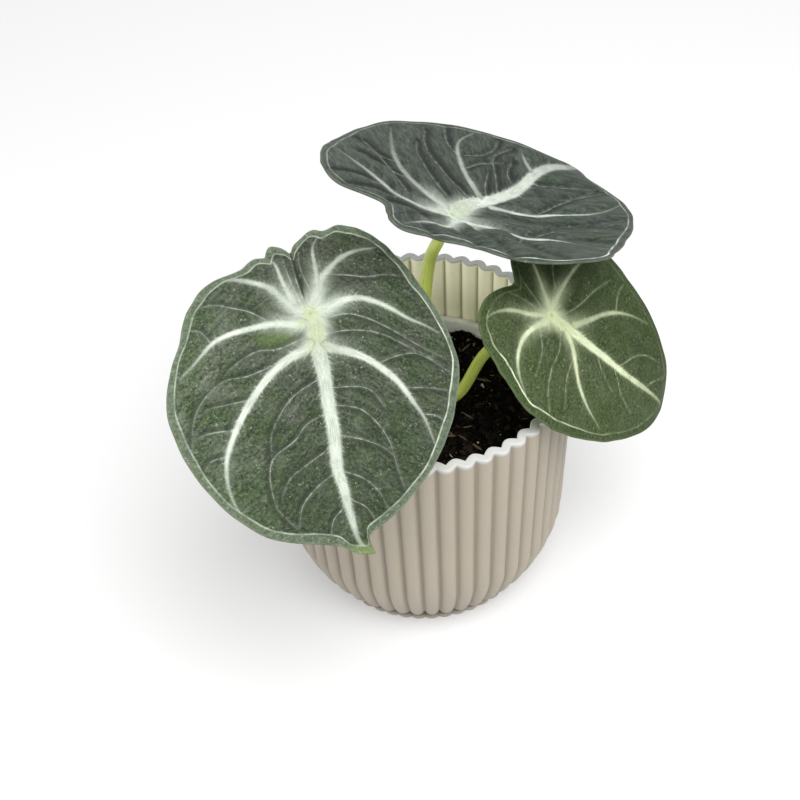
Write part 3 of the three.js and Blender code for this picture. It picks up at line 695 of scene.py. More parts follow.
# %% Leaves: placing, form and outline
LEAVES = {
    "left": {
        "attach": (-21.5, -23.5, 104.7), "heading": -80, "pitch": 30, "roll": 8,
        "form": {"along": 0.002, "along_from": 0, "right": 0.0035, "left": 0.0035,
                 "tip": 0.02, "tip_from": 46},
        "tip_bearing": -3.0, "hook": 0.1, "relief": (0.8, 0.8), "dim": 0.0, "offset": 1.6,
        "margin_light": 0.5, "bright_margin": -1.1, "patch": (8.1, 4.7, 4.0, 1.9),
        "midrib": [1.45, 1.3, 1.1, 0.98, 0.7, 0.3],
        "seam": [(0.6, -2), (1.2, -7), (1.6, -10), (1.9, -13.5)], "seam_lift": 0.55,
        "outline": [  # bearing and reach
            (-168, 18.5), (-161.5, 18.6), (-153, 20.8), (-138, 22.5), (-117, 23.4), (-104, 24.5),
            (-91, 26.5), (-78, 29.4), (-65, 33.1), (-50, 35.9), (-35, 39.2), (-20, 42.9),
            (-13, 44.9), (-8.1, 46.2), (-6.2, 46.8), (-5, 47.4), (-4.4, 48.5), (-4.1, 49.8),
            (-3.8, 50.6), (-3.2, 50.9), (-1.6, 50.7), (0.2, 50.3), (1.2, 49.5), (2.2, 48.6),
            (4.2, 48.1), (10, 47.6), (21, 46.9), (35, 43.5), (49, 39.8), (64, 35.6), (75, 31.3),
            (84, 27.9), (100, 25.1), (114, 22.1), (128, 17.6), (138, 16.6), (144, 16.3), (149, 15.4),
            (151.5, 15.2), (154, 15.8), (158.8, 16.4), (163, 16), (167, 15.2), (170, 14.3),
            (172.2, 13.6), (175, 14.6), (179.5, 15.7), (184.7, 16.9),
        ],
        "veins": [  # half width, brightness, then points across and along
            (1.25, 0.9, [(0.2, 0.4), (-0.4, 3), (-0.1, 7.8), (-0.3, 13.7), (-0.1, 20), (-0.2, 24.8),
                         (0.1, 29.5), (0.3, 33.3), (-0.3, 37.1), (-0.6, 40.8), (-1.3, 46),
                         (-1.7, 49)]),
            (0.62, 0.95, [(-1, -0.2), (-3.6, -0.5), (-7.3, -1.8), (-10.9, -1.9), (-14.2, -0.7),
                          (-17.4, 1.2), (-20.5, 3.5), (-23.8, 5.3), (-26.8, 7.3)]),
            (0.72, 1.0, [(-0.6, 7), (-2.5, 8.1), (-6.2, 9.4), (-9.8, 11.3), (-12.8, 13.9),
                         (-15.7, 17.1), (-18, 21.3), (-19.8, 24.9), (-20.7, 28.4), (-21.1, 30.6)]),
            (0.62, 0.95, [(0.8, 1.6), (3.2, 2.1), (7.9, 1.5), (12.7, 1.7), (17.5, 2.3), (20.9, 3.5),
                          (25.2, 7.1), (28.9, 10)]),
            (0.72, 1.1, [(0.5, 6.4), (2.3, 7.7), (6.4, 9.3), (10.7, 12.1), (15.2, 16.6),
                         (18.4, 20.8), (20.7, 24.7), (22.1, 28.1), (22.5, 32.7), (21.7, 37),
                         (20.2, 40.5)]),
            (0.62, 0.58, [(-0.9, -1.6), (-2.4, -4.5), (-3.4, -6.9), (-5.8, -9.2), (-8.7, -11.3),
                          (-11.9, -12.4), (-16.4, -12.8)]),
            (0.4, 0.55, [(-2.6, -6.2), (-2.7, -10.6), (-2.7, -12.7), (-3.2, -14.7), (-4.6, -16.4)]),
            (0.62, 0.55, [(1, -0.3), (2.7, -0.9), (5.1, -3.4), (7.5, -6.3), (11, -8.1), (15.5, -9.4),
                          (18.4, -9.1), (20.6, -8)]),
            (0.4, 0.7, [(3.2, -2.8), (3.9, -4.8), (4.8, -8), (5.4, -10.9), (6, -12), (8.8, -12.4)]),
        ],
        "branches": [
            [(3, 5.5), (8, 6.9), (12.5, 6.8), (16, 8.1), (19, 10)],
            [(7.2, 9.3), (15.3, 11.6), (20, 11.8), (23.3, 13.7), (26.2, 16.8), (27.7, 20.6),
             (28.5, 25)],
            [(15.5, 16.4), (20.6, 16.7), (24.2, 17), (26, 18)], [(19, 22), (23.8, 21.8), (27, 22.2)],
            [(21.4, 27), (25, 27.4), (26.4, 28.8)],
            [(1, 14.4), (5.6, 16.5), (8.2, 18.4), (10.4, 21), (12.4, 24.2), (13.1, 28)],
            [(0.8, 21.6), (5.2, 23.4), (8, 26.2), (12.8, 29), (14, 32), (14.1, 36), (13.4, 39.3),
             (10.4, 43.5)],
            [(0.8, 28.6), (5.6, 31), (10, 33.5), (12.2, 36.7)],
            [(0.6, 33.6), (5.3, 36.3), (8.7, 39.7), (10, 44.5)],
            [(-0.4, 40.6), (2.7, 43), (3.7, 46)],
            [(-0.6, 20), (-6.4, 21.7), (-9.2, 24.6), (-11.4, 29), (-12, 33.2), (-13, 39)],
            [(-0.6, 26.2), (-6.8, 28.4), (-10.7, 30.8), (-12, 32.6)],
            [(-0.6, 33.6), (-5, 36), (-7.5, 39), (-8.8, 42.6)],
            [(-0.8, 39.3), (-4.2, 41.4), (-5.6, 43.8)],
            [(-0.6, 16.4), (-8, 17.4), (-10, 18.8), (-11.6, 22)],
            [(-12, 12.6), (-16.5, 11.5), (-21, 11.5), (-25, 14), (-28, 16.6)],
            [(-16.5, 18.4), (-21.7, 18.9), (-26.8, 20)], [(-19, 24.2), (-22.7, 25), (-24.6, 26.6)],
            [(-1.6, 1.6), (-7.5, 1.3), (-12, 3), (-17.4, 6.5), (-22, 10), (-27, 13)],
            [(-1.4, 5), (-8, 5), (-14, 6.5), (-19, 9.7), (-24, 12.6)],
            [(-4.6, -8), (-9, -7.2), (-13.4, -6.3), (-17, -6.5), (-22, -5.8)],
            [(8, 1.6), (12.4, -1.7), (16.2, -3.3), (19.2, -4.5), (24, -4.4)],
            [(21, 4.4), (22.9, 0.8), (26, -0.3)], [(1.5, -2), (3, -7.7), (3.6, -11.3), (4, -14)],
            [(0.8, -1.8), (1.7, -7), (2, -12.6)],
            [(-1.4, -3.4), (-0.2, -6.4), (0.6, -9.7), (0.4, -13)],
        ],
    },
    "top": {
        "attach": (9.3, -1.4, 111.1), "heading": 51, "pitch": 27, "roll": -14,
        "form": {"along": -0.0029, "along_from": -6, "right": -0.0104, "left": 0.0024,
                 "tip": 0.03, "tip_from": 41},
        "tip_bearing": 0, "hook": 0.0, "relief": (1.9, 3.4), "dim": 0.6, "offset": 1.4,
        "margin_light": 0.3, "bright_margin": 1.6, "patch": None,
        "midrib": [1.6, 1.5, 1.2, 1.0, 0.95, 0.7],
        "seam": [(-0.6, -2), (-1.6, -8), (-2.4, -14), (-3.4, -20)], "seam_lift": 0.15,
        "outline": [  # bearing and reach
            (-168, 19.8), (-156, 18.4), (-149, 21.8), (-143, 26.4), (-132, 29.1), (-118, 30.8),
            (-103, 32.5), (-86, 34.5), (-70, 38.5), (-57, 42.2), (-40, 43), (-24, 43.7), (-12, 45.2),
            (-5, 47.9), (-1.5, 51.5), (0, 52.5), (1.5, 51.5), (5, 48.4), (11, 47.9), (22, 45.9),
            (31, 43.4), (42, 39.9), (56, 36.1), (74, 34.1), (88, 34), (98, 30), (107, 24.9),
            (115, 21), (124, 16.6), (142, 15.2), (160, 17.1), (180, 21),
        ],
        "veins": [  # half width, brightness, then points across and along
            (1.25, 0.9, [(0, 0), (-1, 8), (-0.2, 14.5), (0.1, 21), (-0.5, 27.5), (-2.2, 34.8),
                         (-2.2, 40.5), (-0.4, 45.5), (0, 50)]),
            (0.6, 0.44, [(-0.6, 12.6), (-4.8, 14.7), (-11.4, 19), (-17.8, 24.7), (-20.8, 29.3),
                         (-21.3, 36.4)]),
            (0.7, 0.28, [(-2, 0.4), (-7.4, 0), (-13.4, 1.1), (-20, 4.8), (-26.6, 10.7), (-33, 18.4)]),
            (0.65, 0.44, [(-1, -2), (-4.3, -7.4), (-8.4, -9.4), (-15, -9), (-22.7, -7.7),
                          (-31, -6.6)]),
            (0.45, 0.8, [(1.6, 12.4), (5.4, 16.2), (8.8, 19.8), (11.8, 25.6), (16.7, 32.3),
                         (18.2, 41)]),
            (0.5, 0.85, [(1.8, 0.6), (5.9, 2), (9.5, 5), (15, 7.3), (20, 11.6), (25.6, 11),
                         (31.5, 11.2)]),
            (0.45, 0.6, [(2, -1.4), (3.5, -7.2), (0.9, -11.2), (-0.1, -18.8)]),
            (0.35, 0.5, [(-3, 34.8), (-7, 37), (-10.7, 40.2)]),
        ],
        "branches": [
            [(-2, 9.6), (-11, 12.2), (-18.3, 15.3), (-24.5, 20.3), (-28, 25)],
            [(-3, 3.6), (-10, 6.4), (-17, 10.5), (-21, 13.4), (-25, 18)],
            [(-10, -5), (-21.6, 1.4), (-30, 5)], [(-6, -8.4), (-11.7, -13.6), (-15, -19)],
            [(-16, 25.2), (-13.9, 28.8), (-13.9, 33.6), (-16, 38)],
            [(-1, 18.8), (-6.2, 24.6), (-12, 31.4), (-12, 38)], [(-0.5, 31), (4.7, 37.5), (9.3, 42)],
            [(0.6, 22.8), (6.7, 30.7), (9.5, 36.5), (10, 42)],
            [(8.6, 20.6), (8.9, 33.3), (12, 43.4)],
            [(1.4, 5.4), (7.5, 12.8), (11.2, 15.6), (16, 20.7), (23, 33)],
            [(15.4, 7.6), (16, 17), (19.5, 22.8), (27, 26.4)],
            [(14, 6.8), (16, 3), (22, 0.4), (28, -2)], [(21, 11.4), (24, 15), (30, 17)],
            [(5, 1.4), (8, -0.6), (14, -3.4), (21, -8)], [(3, -4.6), (10.4, -7.5), (16, -12)],
            [(2.6, -8.6), (-3, -10.8), (-7, -15)], [(0.6, -14), (5, -15), (9, -14)],
            [(-20, 5), (-25, 2.6), (-32, 4)], [(-13, 1.4), (-19, -1), (-26, -1.6)],
            [(-12, -9), (-17, -12.4), (-21, -18)], [(-2, 26), (-6, 29), (-8, 33)],
            [(-17, 23.6), (-22, 26), (-27, 31)], [(-12, 19), (-11.6, 25), (-9, 31)],
            [(-1.4, 14.8), (-5, 19), (-8, 24)],
        ],
    },
    "right": {
        "attach": (30.6, -10.0, 87.8), "heading": -6, "pitch": 45, "roll": -24,
        "form": {"along": 0.002, "along_from": 0, "right": 0.003, "left": 0.003,
                 "tip": 0.06, "tip_from": 37},
        "tip_bearing": -2, "hook": 0.0, "relief": (0.5, 0.5), "dim": 0.55, "offset": 2.0,
        "margin_light": 0.1, "bright_margin": 1.6, "patch": None,
        "midrib": [1.7, 1.5, 1.2, 0.95, 0.7, 0.35],
        "seam": [(0.2, -2), (-0.2, -7), (-0.6, -12)], "seam_lift": 0.3,
        "outline": [  # bearing and reach
            (-172, 13.1), (-162, 15.9), (-150, 19), (-135, 20.8), (-120, 21.6), (-105, 22.2),
            (-90, 23.3), (-76, 24.9), (-65, 26.4), (-55, 28.4), (-45, 30.5), (-35, 33.6),
            (-24, 37.4), (-12, 41.2), (-5, 42.8), (-2, 42.9), (1, 41.6), (8, 39.7), (20, 35.5),
            (31, 32.1), (42, 29.1), (55, 26.5), (70, 24), (86, 22.2), (100, 20.4), (116, 20.1),
            (132, 20.9), (148, 20.6), (161, 18.2), (170, 15.2), (180, 12.4),
        ],
        "veins": [  # half width, brightness, then points across and along
            (0.74, 1.0, [(0, 0), (0.3, 3.6), (0.3, 8.1), (0.3, 12.7), (0.1, 17.5), (0, 22.4),
                         (-0.3, 27.4), (-0.9, 32.6), (-1.4, 40)]),
            (0.5, 0.6, [(-1.6, -0.6), (-5, -0.4), (-9.6, 0.4), (-14.3, 1.8), (-17, 3), (-21, 5)]),
            (0.5, 0.6, [(-1.2, -1.2), (-4.3, -5.3), (-6.3, -7.8), (-7.8, -10), (-10, -13)]),
            (0.45, 0.8, [(1, -1.6), (3.6, -6.1), (4.9, -9.3), (6.6, -12.2), (9.4, -14.9),
                         (11.6, -15.8)]),
            (0.55, 1.0, [(1.8, -0.6), (6, -3.7), (9.3, -5), (12, -5), (14.8, -4), (17.4, -2),
                         (20, 1.2)]),
            (0.5, 0.95, [(0.8, 5), (3.8, 8.4), (7.1, 11), (10.2, 13.8), (13.1, 18.2), (15.4, 24)]),
            (0.52, 0.55, [(-1.4, 6.6), (-5.4, 10.3), (-9, 13.6), (-12, 17.4), (-14.2, 21.8),
                          (-16, 28)]),
        ],
        "branches": [
            [(1.6, 3.4), (6.7, 4.8), (11.2, 4.6), (16.3, 6.2), (20, 9)],
            [(-2, 3), (-6.7, 6), (-12.2, 8.6), (-17, 11.8)], [(0.2, -2), (-1, -8), (-2.6, -12.7)],
            [(0.8, -2.4), (1.4, -8), (2.2, -13)], [(0.4, 21.4), (2.5, 23.7), (5, 26), (7, 31)],
            [(-1, 33), (-4, 35), (-7, 38)], [(-12, 17), (-16.4, 16), (-20, 17)],
            [(0.4, 15.2), (3.4, 18), (6, 23)], [(3.6, -2.4), (9.4, 0.5), (15, 1.4)],
            [(-0.6, 23), (-5.7, 26.6), (-8.2, 30), (-9.6, 35)], [(5, 9.4), (11, 9.6), (17, 12)],
            [(-5, -0.4), (-9, -4), (-15, -6)],
        ],
    },
}


def blade_axes(leaf):
    """Across, along and up for a blade: its midrib's heading and pitch, then a roll about it."""
    heading, pitch, roll = np.radians([leaf["heading"], leaf["pitch"], leaf["roll"]])
    along = np.array([np.cos(pitch) * np.cos(heading), np.cos(pitch) * np.sin(heading), -np.sin(pitch)])
    level = np.array([np.sin(heading), -np.cos(heading), 0])
    across = level * np.cos(roll) + np.cross(level, along) * np.sin(roll)
    return across, along, np.cross(across, along)


def margin_reach(outline, bearing):
    """Reach of the margin at a bearing: a closed cubic through the outline's points, whose
    slope at each point is the slope between its two neighbours."""
    knots, reach = np.array(outline, float).T
    start = knots[0]
    knots = np.concatenate([knots - 360, knots, knots + 360])
    reach = np.tile(reach, 3)
    bearing = start + (bearing - start) % 360
    i = np.searchsorted(knots, bearing, side="right") - 1
    span = knots[i + 1] - knots[i]
    t = (bearing - knots[i]) / span
    leave = (reach[i + 1] - reach[i - 1]) / (knots[i + 1] - knots[i - 1]) * span
    enter = (reach[i + 2] - reach[i]) / (knots[i + 2] - knots[i]) * span
    return ((2 * t ** 3 - 3 * t ** 2 + 1) * reach[i] + (t ** 3 - 2 * t ** 2 + t) * leave
            + (3 * t ** 2 - 2 * t ** 3) * reach[i + 1] + (t ** 3 - t ** 2) * enter)


def blade_form(form, u, v):
    """Large form: droop along the midrib and to each side as squares, and a bent-down tip."""
    ahead = np.maximum(v - form["along_from"], 0)
    at_root = max(-form["along_from"], 0)
    side = np.where(u < 0, form["left"], form["right"])
    tip = np.maximum(v - form["tip_from"], 0)
    return form["along"] * (at_root ** 2 - ahead ** 2) - side * u ** 2 - form["tip"] * tip ** 2


# %% [markdown]
# ## Vein fields
#
# Veins are both relief and colour, so the blade's grid needs to know how far each of its
# points is from the nearest vein. That is a distance to a line, worked out for the whole
# grid at once. The distance along the vein comes with it: later a finish turns it into the
# feathered, hairy edge that these silver veins have.

# %% Distance to a family of lines
SHARES = [0, 0.12, 0.3, 0.6, 0.8, 1]  # stations along a vein
SIDE_WIDTHS = [1.55, 1.15, 0.95, 0.75, 0.42, 0.15]  # half width there, as a share of the vein's own
MIDRIB_SHINES = [0.7, 0.78, 0.9, 1.0, 0.95, 0.55]  # and how bright it is
SIDE_SHINES = [0.6, 0.75, 1.0, 1.0, 0.55, 0.38]
VEIN_STEP = 37  # added to the distance along each further vein, so that no two look the same


def line_field(lines, u, v, dim=0.0, midrib=SIDE_WIDTHS):
    """Nearest line for every point of a grid.

    Each line is (half width, brightness, points), and the first is the midrib. For each short
    stretch, the foot of the perpendicular is kept inside the stretch. The nearest is judged
    from the vein's edge. dim is the share of brightness that is lost towards the end, and
    midrib holds the first line's widths at the stations.
    Returns the distance to the edge, the signed distance to the middle, the distance along
    the line, the half width and brightness there, and the plain distance to the middle.
    """
    best = np.full(u.shape, 1e9)
    found = {key: np.zeros(u.shape) for key in ("side", "along", "half", "shine", "middle")}
    for number, (peak, bright, points) in enumerate(lines):
        line = through(points, 5)
        length = np.concatenate([[0], np.cumsum(np.linalg.norm(np.diff(line, axis=0), axis=1))])
        widths, shines = (SIDE_WIDTHS, SIDE_SHINES) if number else (midrib, MIDRIB_SHINES)
        for (au, av), (bu, bv), start, end in zip(line[:-1], line[1:], length[:-1], length[1:]):
            du, dv = bu - au, bv - av
            t = (((u - au) * du + (v - av) * dv) / (du * du + dv * dv)).clip(0, 1)
            eu, ev = u - au - t * du, v - av - t * dv
            distance = np.hypot(eu, ev)
            run = start + (end - start) * t
            part = run / length[-1]
            half = peak * np.interp(part, SHARES, widths)
            shine = bright * np.interp(part, SHARES, shines) * (1 - dim * part)
            here = {"side": np.sign(eu * dv - ev * du) * distance, "along": run + VEIN_STEP * number,
                    "half": half, "shine": shine, "middle": distance}
            nearer = distance - half < best
            best = np.where(nearer, distance - half, best)
            found = {key: np.where(nearer, here[key], found[key]) for key in found}
    return {"edge": best, **found}


# %% [markdown]
# ## The blade
#
# Both faces of a blade use the same map. The upper face adds low cushions between the
# veins, a furrow along each side vein and a dip where the stalk joins. The lower face is the
# same sheet, a fraction of a millimetre down, with ribs that stand out under the veins.
# A subdivided plane with a displacement texture would do for one leaf. Formulas let three
# leaves share the same build and still differ.

# %% Blade surface
BLADE_COLUMNS, BLADE_RINGS, TIP_BIAS = 480, 110, 0.45
THICK, MARGIN_THICK = 0.62, 0.42
QUILT, QUILT_REACH = 0.55, 3.2
FUNNEL_DEPTH, FUNNEL_RADIUS = 0.6, 5.0
FURROW, FURROW_REACH = 0.2, 0.8
PILLOW, PILLOW_REACH = 0.3, 2.4
RIDGE = 0.14  # a main vein stands up by this much
QUIVER, QUIVER_CELL = 0.1, 4.2  # small unevenness everywhere
SEAM_FROM, SEAM_REACH, SEAM_STEP = 12, 3.5, 0.35  # one side of the seam lies over the other
GROOVE, GROOVE_REACH = 0.3, 0.5
SILL = 0.15  # the margin turns down by this much
MARGIN_ROUND = 0.12  # and its edge stands out by this much between the two faces
RIB, RIB_FOOT = 0.9, 0.25  # ribs underneath: height as a share of the half width, and a wider foot
BACK_VEIN, BACK_VEIN_REACH = 0.14, 0.45
BRANCH_DIM = 0.6  # side veins lose this share of their brightness towards their ends
HOOK_FROM = 46.5  # the drip tip curls sideways beyond this distance


def blade_map(leaf):
    """The grid: a bearing for each column, crowded towards the drip tip, and a share of the
    reach for each ring. Returns across, along, share and reach, each (rings, columns)."""
    s = circle_of(BLADE_COLUMNS)
    bearing = leaf["tip_bearing"] + np.degrees(s - TIP_BIAS * np.sin(s))
    angle = np.radians(bearing)
    ripple = 0.05 * np.sin(angle * 23 + 1.1) + 0.04 * np.sin(angle * 37)
    reach = margin_reach(leaf["outline"], bearing) + ripple
    share = (np.arange(BLADE_RINGS) + 1)[:, None] / BLADE_RINGS
    across, along = reach * share * np.sin(angle), reach * share * np.cos(angle)
    return across, along, share + 0 * reach, reach + 0 * share


def upper_height(leaf, u, v, share, main, branch):
    """Height of the upper face over the flat map: form, cushions, furrows, dip, wave and sill.

    Each cushion is one minus a bell over the distance to a vein, and each furrow a bell. The
    seam is a smooth step from one side to the other, with a groove in it.
    """
    cushion = QUILT * (1 - np.exp(-(main["middle"] / QUILT_REACH) ** 2)) * (1 - share ** 4)
    ridge = RIDGE * np.exp(-(main["middle"] / main["half"].clip(0.3)) ** 2)
    clear = 1 - np.exp(-main["edge"].clip(0) ** 2)
    furrow = FURROW * np.exp(-(branch["middle"] / FURROW_REACH) ** 2) * (1 - share ** 12)
    pillow = PILLOW * (1 - np.exp(-(branch["middle"] / PILLOW_REACH) ** 2)) * (1 - share ** 6)
    funnel = FUNNEL_DEPTH * np.exp(-(np.hypot(u, v) / FUNNEL_RADIUS) ** 2)
    bearing = np.arctan2(u, v)
    wave = (0.12 * np.sin(bearing * 9 + 0.7) + 0.08 * np.sin(bearing * 16)) * share ** 7
    quiver = QUIVER * lumps(u + 90, v + 90, QUIVER_CELL, 41) * (1 - share ** 6)
    seam = line_field([(0.1, 1, leaf["seam"])], u, v)
    fade = (np.hypot(u, v) / SEAM_FROM).clip(0, 1) * leaf["seam_lift"]
    lift = fade * np.exp(-(seam["middle"] / SEAM_REACH) ** 2) * np.tanh(seam["side"] / SEAM_STEP)
    groove = GROOVE * fade * np.exp(-(seam["middle"] / GROOVE_REACH) ** 2)
    at_left, at_right = leaf["relief"]
    relief = at_left + (at_right - at_left) * (0.5 + 0.5 * np.tanh(u / 3))
    fine = relief * ((pillow - furrow) * clear + quiver)
    return (blade_form(leaf["form"], u, v) + cushion + ridge + fine - funnel + wave + lift - groove
            - SILL * share ** 40)


def lower_drop(share, main, branch):
    """How far the lower face lies under the upper one: the sheet, and ribs under the veins."""
    sheet = THICK + (MARGIN_THICK - THICK) * share
    tall = RIB * main["half"]
    rib = tall * np.exp(-(main["middle"] / (tall + RIB_FOOT)) ** 2) * (1 - share ** 3)
    vein = BACK_VEIN * np.exp(-(branch["middle"] / BACK_VEIN_REACH) ** 2) * (1 - share ** 8)
    return sheet + rib + vein


# %% Blade fields and mesh
def blade_fields(leaf, u, v, share, reach, main, branch):
    """The values that the finishes read, one of each for every point of the grid."""
    bearing = np.arctan2(u, v)
    inside = (1 - share) * reach
    offset = leaf["offset"] + 0.25 * np.sin(bearing * 7 + 1) + 0.1 * np.sin(bearing * 17)
    patch = np.zeros(u.shape)
    if leaf["patch"]:
        pu, pv, long, wide = leaf["patch"]
        patch = np.exp(-((u - pu) / long) ** 4 - ((v - pv - 0.12 * (u - pu)) / wide) ** 4)
    brightest = np.exp(-((bearing - leaf["bright_margin"]) / 0.7) ** 2)
    lit = leaf["margin_light"] + (1 - leaf["margin_light"]) * brightest
    seam = line_field([(0.1, 1, leaf["seam"])], u, v)
    return {
        "edge": main["edge"], "along": main["along"], "half": main["half"], "shine": main["shine"],
        "branch": branch["middle"], "branch_side": branch["side"], "branch_shine": branch["shine"],
        "margin": inside, "collective": inside - offset, "collective_shine": lit,
        "across_map": u, "along_map": v, "patch": patch, "seam": seam["middle"],
    }


def blade(side, leaf, finishes):
    """Builds one blade: rings out over the upper face, one round the edge, and every second ring
    back under the lower face. The fields go on the vertices, and each face gets its finish."""
    u, v, share, reach = blade_map(leaf)
    main = line_field(leaf["veins"], u, v, leaf["dim"], leaf["midrib"])
    branch = line_field([(0.05, 1.3, line) for line in leaf["branches"]], u, v, BRANCH_DIM)
    upper = upper_height(leaf, u, v, share, main, branch)
    lower = upper - lower_drop(share, main, branch)
    rim = (reach[-1] + MARGIN_ROUND) / reach[-1]
    under = slice(None, None, -2)
    flat = np.concatenate([
        np.stack([u, v, upper], -1),
        np.stack([u[-1:] * rim, v[-1:] * rim, (upper[-1:] + lower[-1:]) / 2], -1),
        np.stack([u[under], v[under], lower[under]], -1),
    ])
    flat[..., 0] -= leaf["hook"] * (flat[..., 1] - HOOK_FROM).clip(0) ** 2
    poles = [np.array([[0, 0, upper[0].mean()]]), np.array([[0, 0, lower[0].mean()]])]
    axes = np.array(blade_axes(leaf))
    points, faces = closed_skin(*[part @ axes + leaf["attach"] for part in [flat, *poles]])
    values = {}
    for key, field in blade_fields(leaf, u, v, share, reach, main, branch).items():
        rows = np.concatenate([field, field[-1:], field[under]])
        values[key] = np.concatenate([[rows[0].mean()], rows.ravel(), [rows[0].mean()]])
    node = f"blade_{side}"
    piece = new_piece(f"leaf_{side}", points, faces, finishes, [node], values)
    quad_under = np.arange(len(faces[0])) // BLADE_COLUMNS >= BLADE_RINGS + 1
    fan_under = np.arange(2 * BLADE_COLUMNS) >= BLADE_COLUMNS
    is_under = np.concatenate([quad_under, fan_under])
    piece.data.polygons.foreach_set("material_index", is_under.astype(np.int32))


# %% [markdown]
# ## The leaf finish
#
# Up close the blade is not one green. Grey and green drift into each other, a fine grain
# lies over them, and the surface has the sheen of short velvet. The veins are not lines
# with clean borders: tiny strands of silver reach out of them, slanting towards the tip.
# An image could carry all this, but only for one leaf at one size. Noise read along the
# vein gives the same strands anywhere: wherever it is high, the silver reaches further out.

# %% Leaf finish: the stored values as wires
class Chart:
    """A blade's stored values as wires, and the masks that several steps share."""

    def __init__(self, finish):
        read = finish.attribute
        self.edge, self.along = read("edge"), read("along")
        self.half, self.shine = read("half"), read("shine")
        self.across_map, self.along_map = read("across_map"), read("along_map")
        self.branch, self.side, self.inner = read("branch"), read("branch_side"), read("collective")
        self.where = finish.vector(self.across_map, self.along_map, 0.0)
        self.root = finish.node("ShaderNodeVectorMath", {"operation": "LENGTH"}, {0: self.where}, output=1)
        self.within = self.inner.between(-0.5, 0.2)
        self.drift = finish.noise(self.where, 0.3, 2.0).between(0.35, 0.62)
        self.broken = finish.noise(self.where, 0.7, 3.0, 0.7).between(0.36, 0.64)


# %% Leaf finish: the ground
def velvet_light(finish, chart, tone, grain, blotch, bloom, folds):
    """How light the ground is: a sum of the patterns, with a painted glint, times a darkening behind
    the joint, a painted shade along the side veins and a painted sheen that lightens the far right."""
    # Painted glint: fine specks of added brightness stand in for light catching the velvet.
    painted_glint = finish.noise(chart.where, 2.4, 2.0, 0.8).between(0.58, 0.7)
    # Painted shade: the ground is darkened close to each side vein, in its furrow.
    quilt = chart.branch.between(0.1, 2.0)
    light = 0.45 + (grain - 0.5) * tone["grain"] * (1.15 - bloom * 0.6)
    light = light + blotch * 0.4 + painted_glint * tone["grain"] * 0.4
    light = light + folds.between(0.38, 0.62) * tone["folds"]
    light = light * (1 - chart.along_map.between(2.0, -12.0) * tone["upper"])
    light = light * (1 - tone["quilt"] + quilt * tone["quilt"])
    # Painted sheen: the far right of the blade is painted lighter, for light catching it there.
    return light * (1 + chart.across_map.between(6.0, 27.0) * tone["painted_sheen"])


def velvet(finish, chart, tone):
    """Mottled ground: grey drifts into green under clouds of bloom, a fine grain and folds that
    run outwards and forwards, as the side veins do. Towards the tip it may turn greener, and
    where another leaf hangs over it a painted shadow darkens it. Returns the colour, the grain
    and the folds."""
    where, along = chart.where, chart.along_map
    across = chart.across_map.size()
    combed = finish.vector(along * 0.8 - across * 0.6, across * 0.2 + along * 0.14, 0.0)
    folds = finish.noise(combed, 1.0, 3.0, 0.65)
    cloud = finish.noise(where, 0.13, 3.0, 0.6, 0.5)
    blotch = finish.noise(where, 0.55, 4.0, 0.65, 0.4)
    grain = finish.noise(where, 1.5, 5.0, 0.85).between(0.38, 0.62)
    bloom = finish.noise(where, 0.16, 4.0, 0.7, 0.8).between(0.46, 0.66)
    colour = finish.mix(tone["grey"], tone["green"], (cloud * 0.78 + blotch * 0.22).between(0.38, 0.62))
    colour = finish.mix(colour, tone["green"], along.between(14.0, 42.0) * tone["greener"])
    # Painted shadow: where another leaf hangs over it, the ground is mixed towards a dark, saturated
    # shaded colour.
    behind = chart.across_map.between(5.0, -10.0) * (0.5 + along.between(9.0, -8.0) * 0.5)
    colour = finish.mix(colour, tone["shaded"], behind * tone["behind"])
    colour = finish.mix(colour, tone["bloom"], bloom * 0.45)
    light = velvet_light(finish, chart, tone, grain, blotch, bloom, folds)
    return finish.tint(colour, light), grain, folds


# %% Leaf finish: the veins
def strands(finish, chart):
    """Silver mask: 1 inside the vein, and thinner strands that reach out where noise is high.

    Two steps are laid over each other: one at the vein's own edge, and a paler one further out.
    Returns the mask and the noise that shapes it.
    """
    slant = finish.vector(chart.along * 1.9 - chart.edge * 1.5, chart.edge * 0.35, chart.half)
    strand = finish.noise(slant, 1.0, 4.0, 0.75).between(0.34, 0.72)
    core = chart.edge.between(0.2, -0.4)
    fringe = (chart.edge - (chart.half * 0.42 + 0.14) * strand).between(0.28, -0.4)
    return 1 - (1 - core) * (1 - fringe * 0.55), strand


def rays(finish, chart):
    """Streaks that run out from the joint: noise read on the direction, and slowly outwards."""
    ray = finish.node("ShaderNodeVectorMath", {"operation": "NORMALIZE"}, {0: chart.where})
    spread = finish.node("ShaderNodeVectorMath", {"operation": "SCALE"}, {0: ray, "Scale": 5.0})
    lifted = finish.node("ShaderNodeVectorMath", {"operation": "ADD"},
                         {0: spread, 1: finish.vector(0.0, 0.0, chart.root * 0.45)})
    return finish.noise(lifted, 1.0, 4.0, 0.65).between(0.32, 0.68)


def side_veins(finish, chart, tone, colour):
    """A side vein: a shadow on one side of its furrow, a thin broken silver line and a haze."""
    branch, side, within = chart.branch, chart.side, chart.within
    shadow = side.between(0.0, 0.3) * side.between(tone["shadow"], 0.4) * chart.edge.between(0.0, 0.8)
    colour = finish.mix(colour, tone["deep"], shadow * tone["furrow"])
    thin = side.size().between(0.18, 0.03) * branch.between(0.8, 0.4) * within
    thin = thin * finish.attribute("branch_shine") * tone["thin"]
    colour = finish.mix(colour, tone["silver"], thin * (0.04 + chart.drift * 0.08 + chart.broken * 0.26))
    beside = branch.between(0.8, 0.0) * within
    return finish.mix(colour, tone["silver"], beside * (0.02 + chart.broken * 0.05))


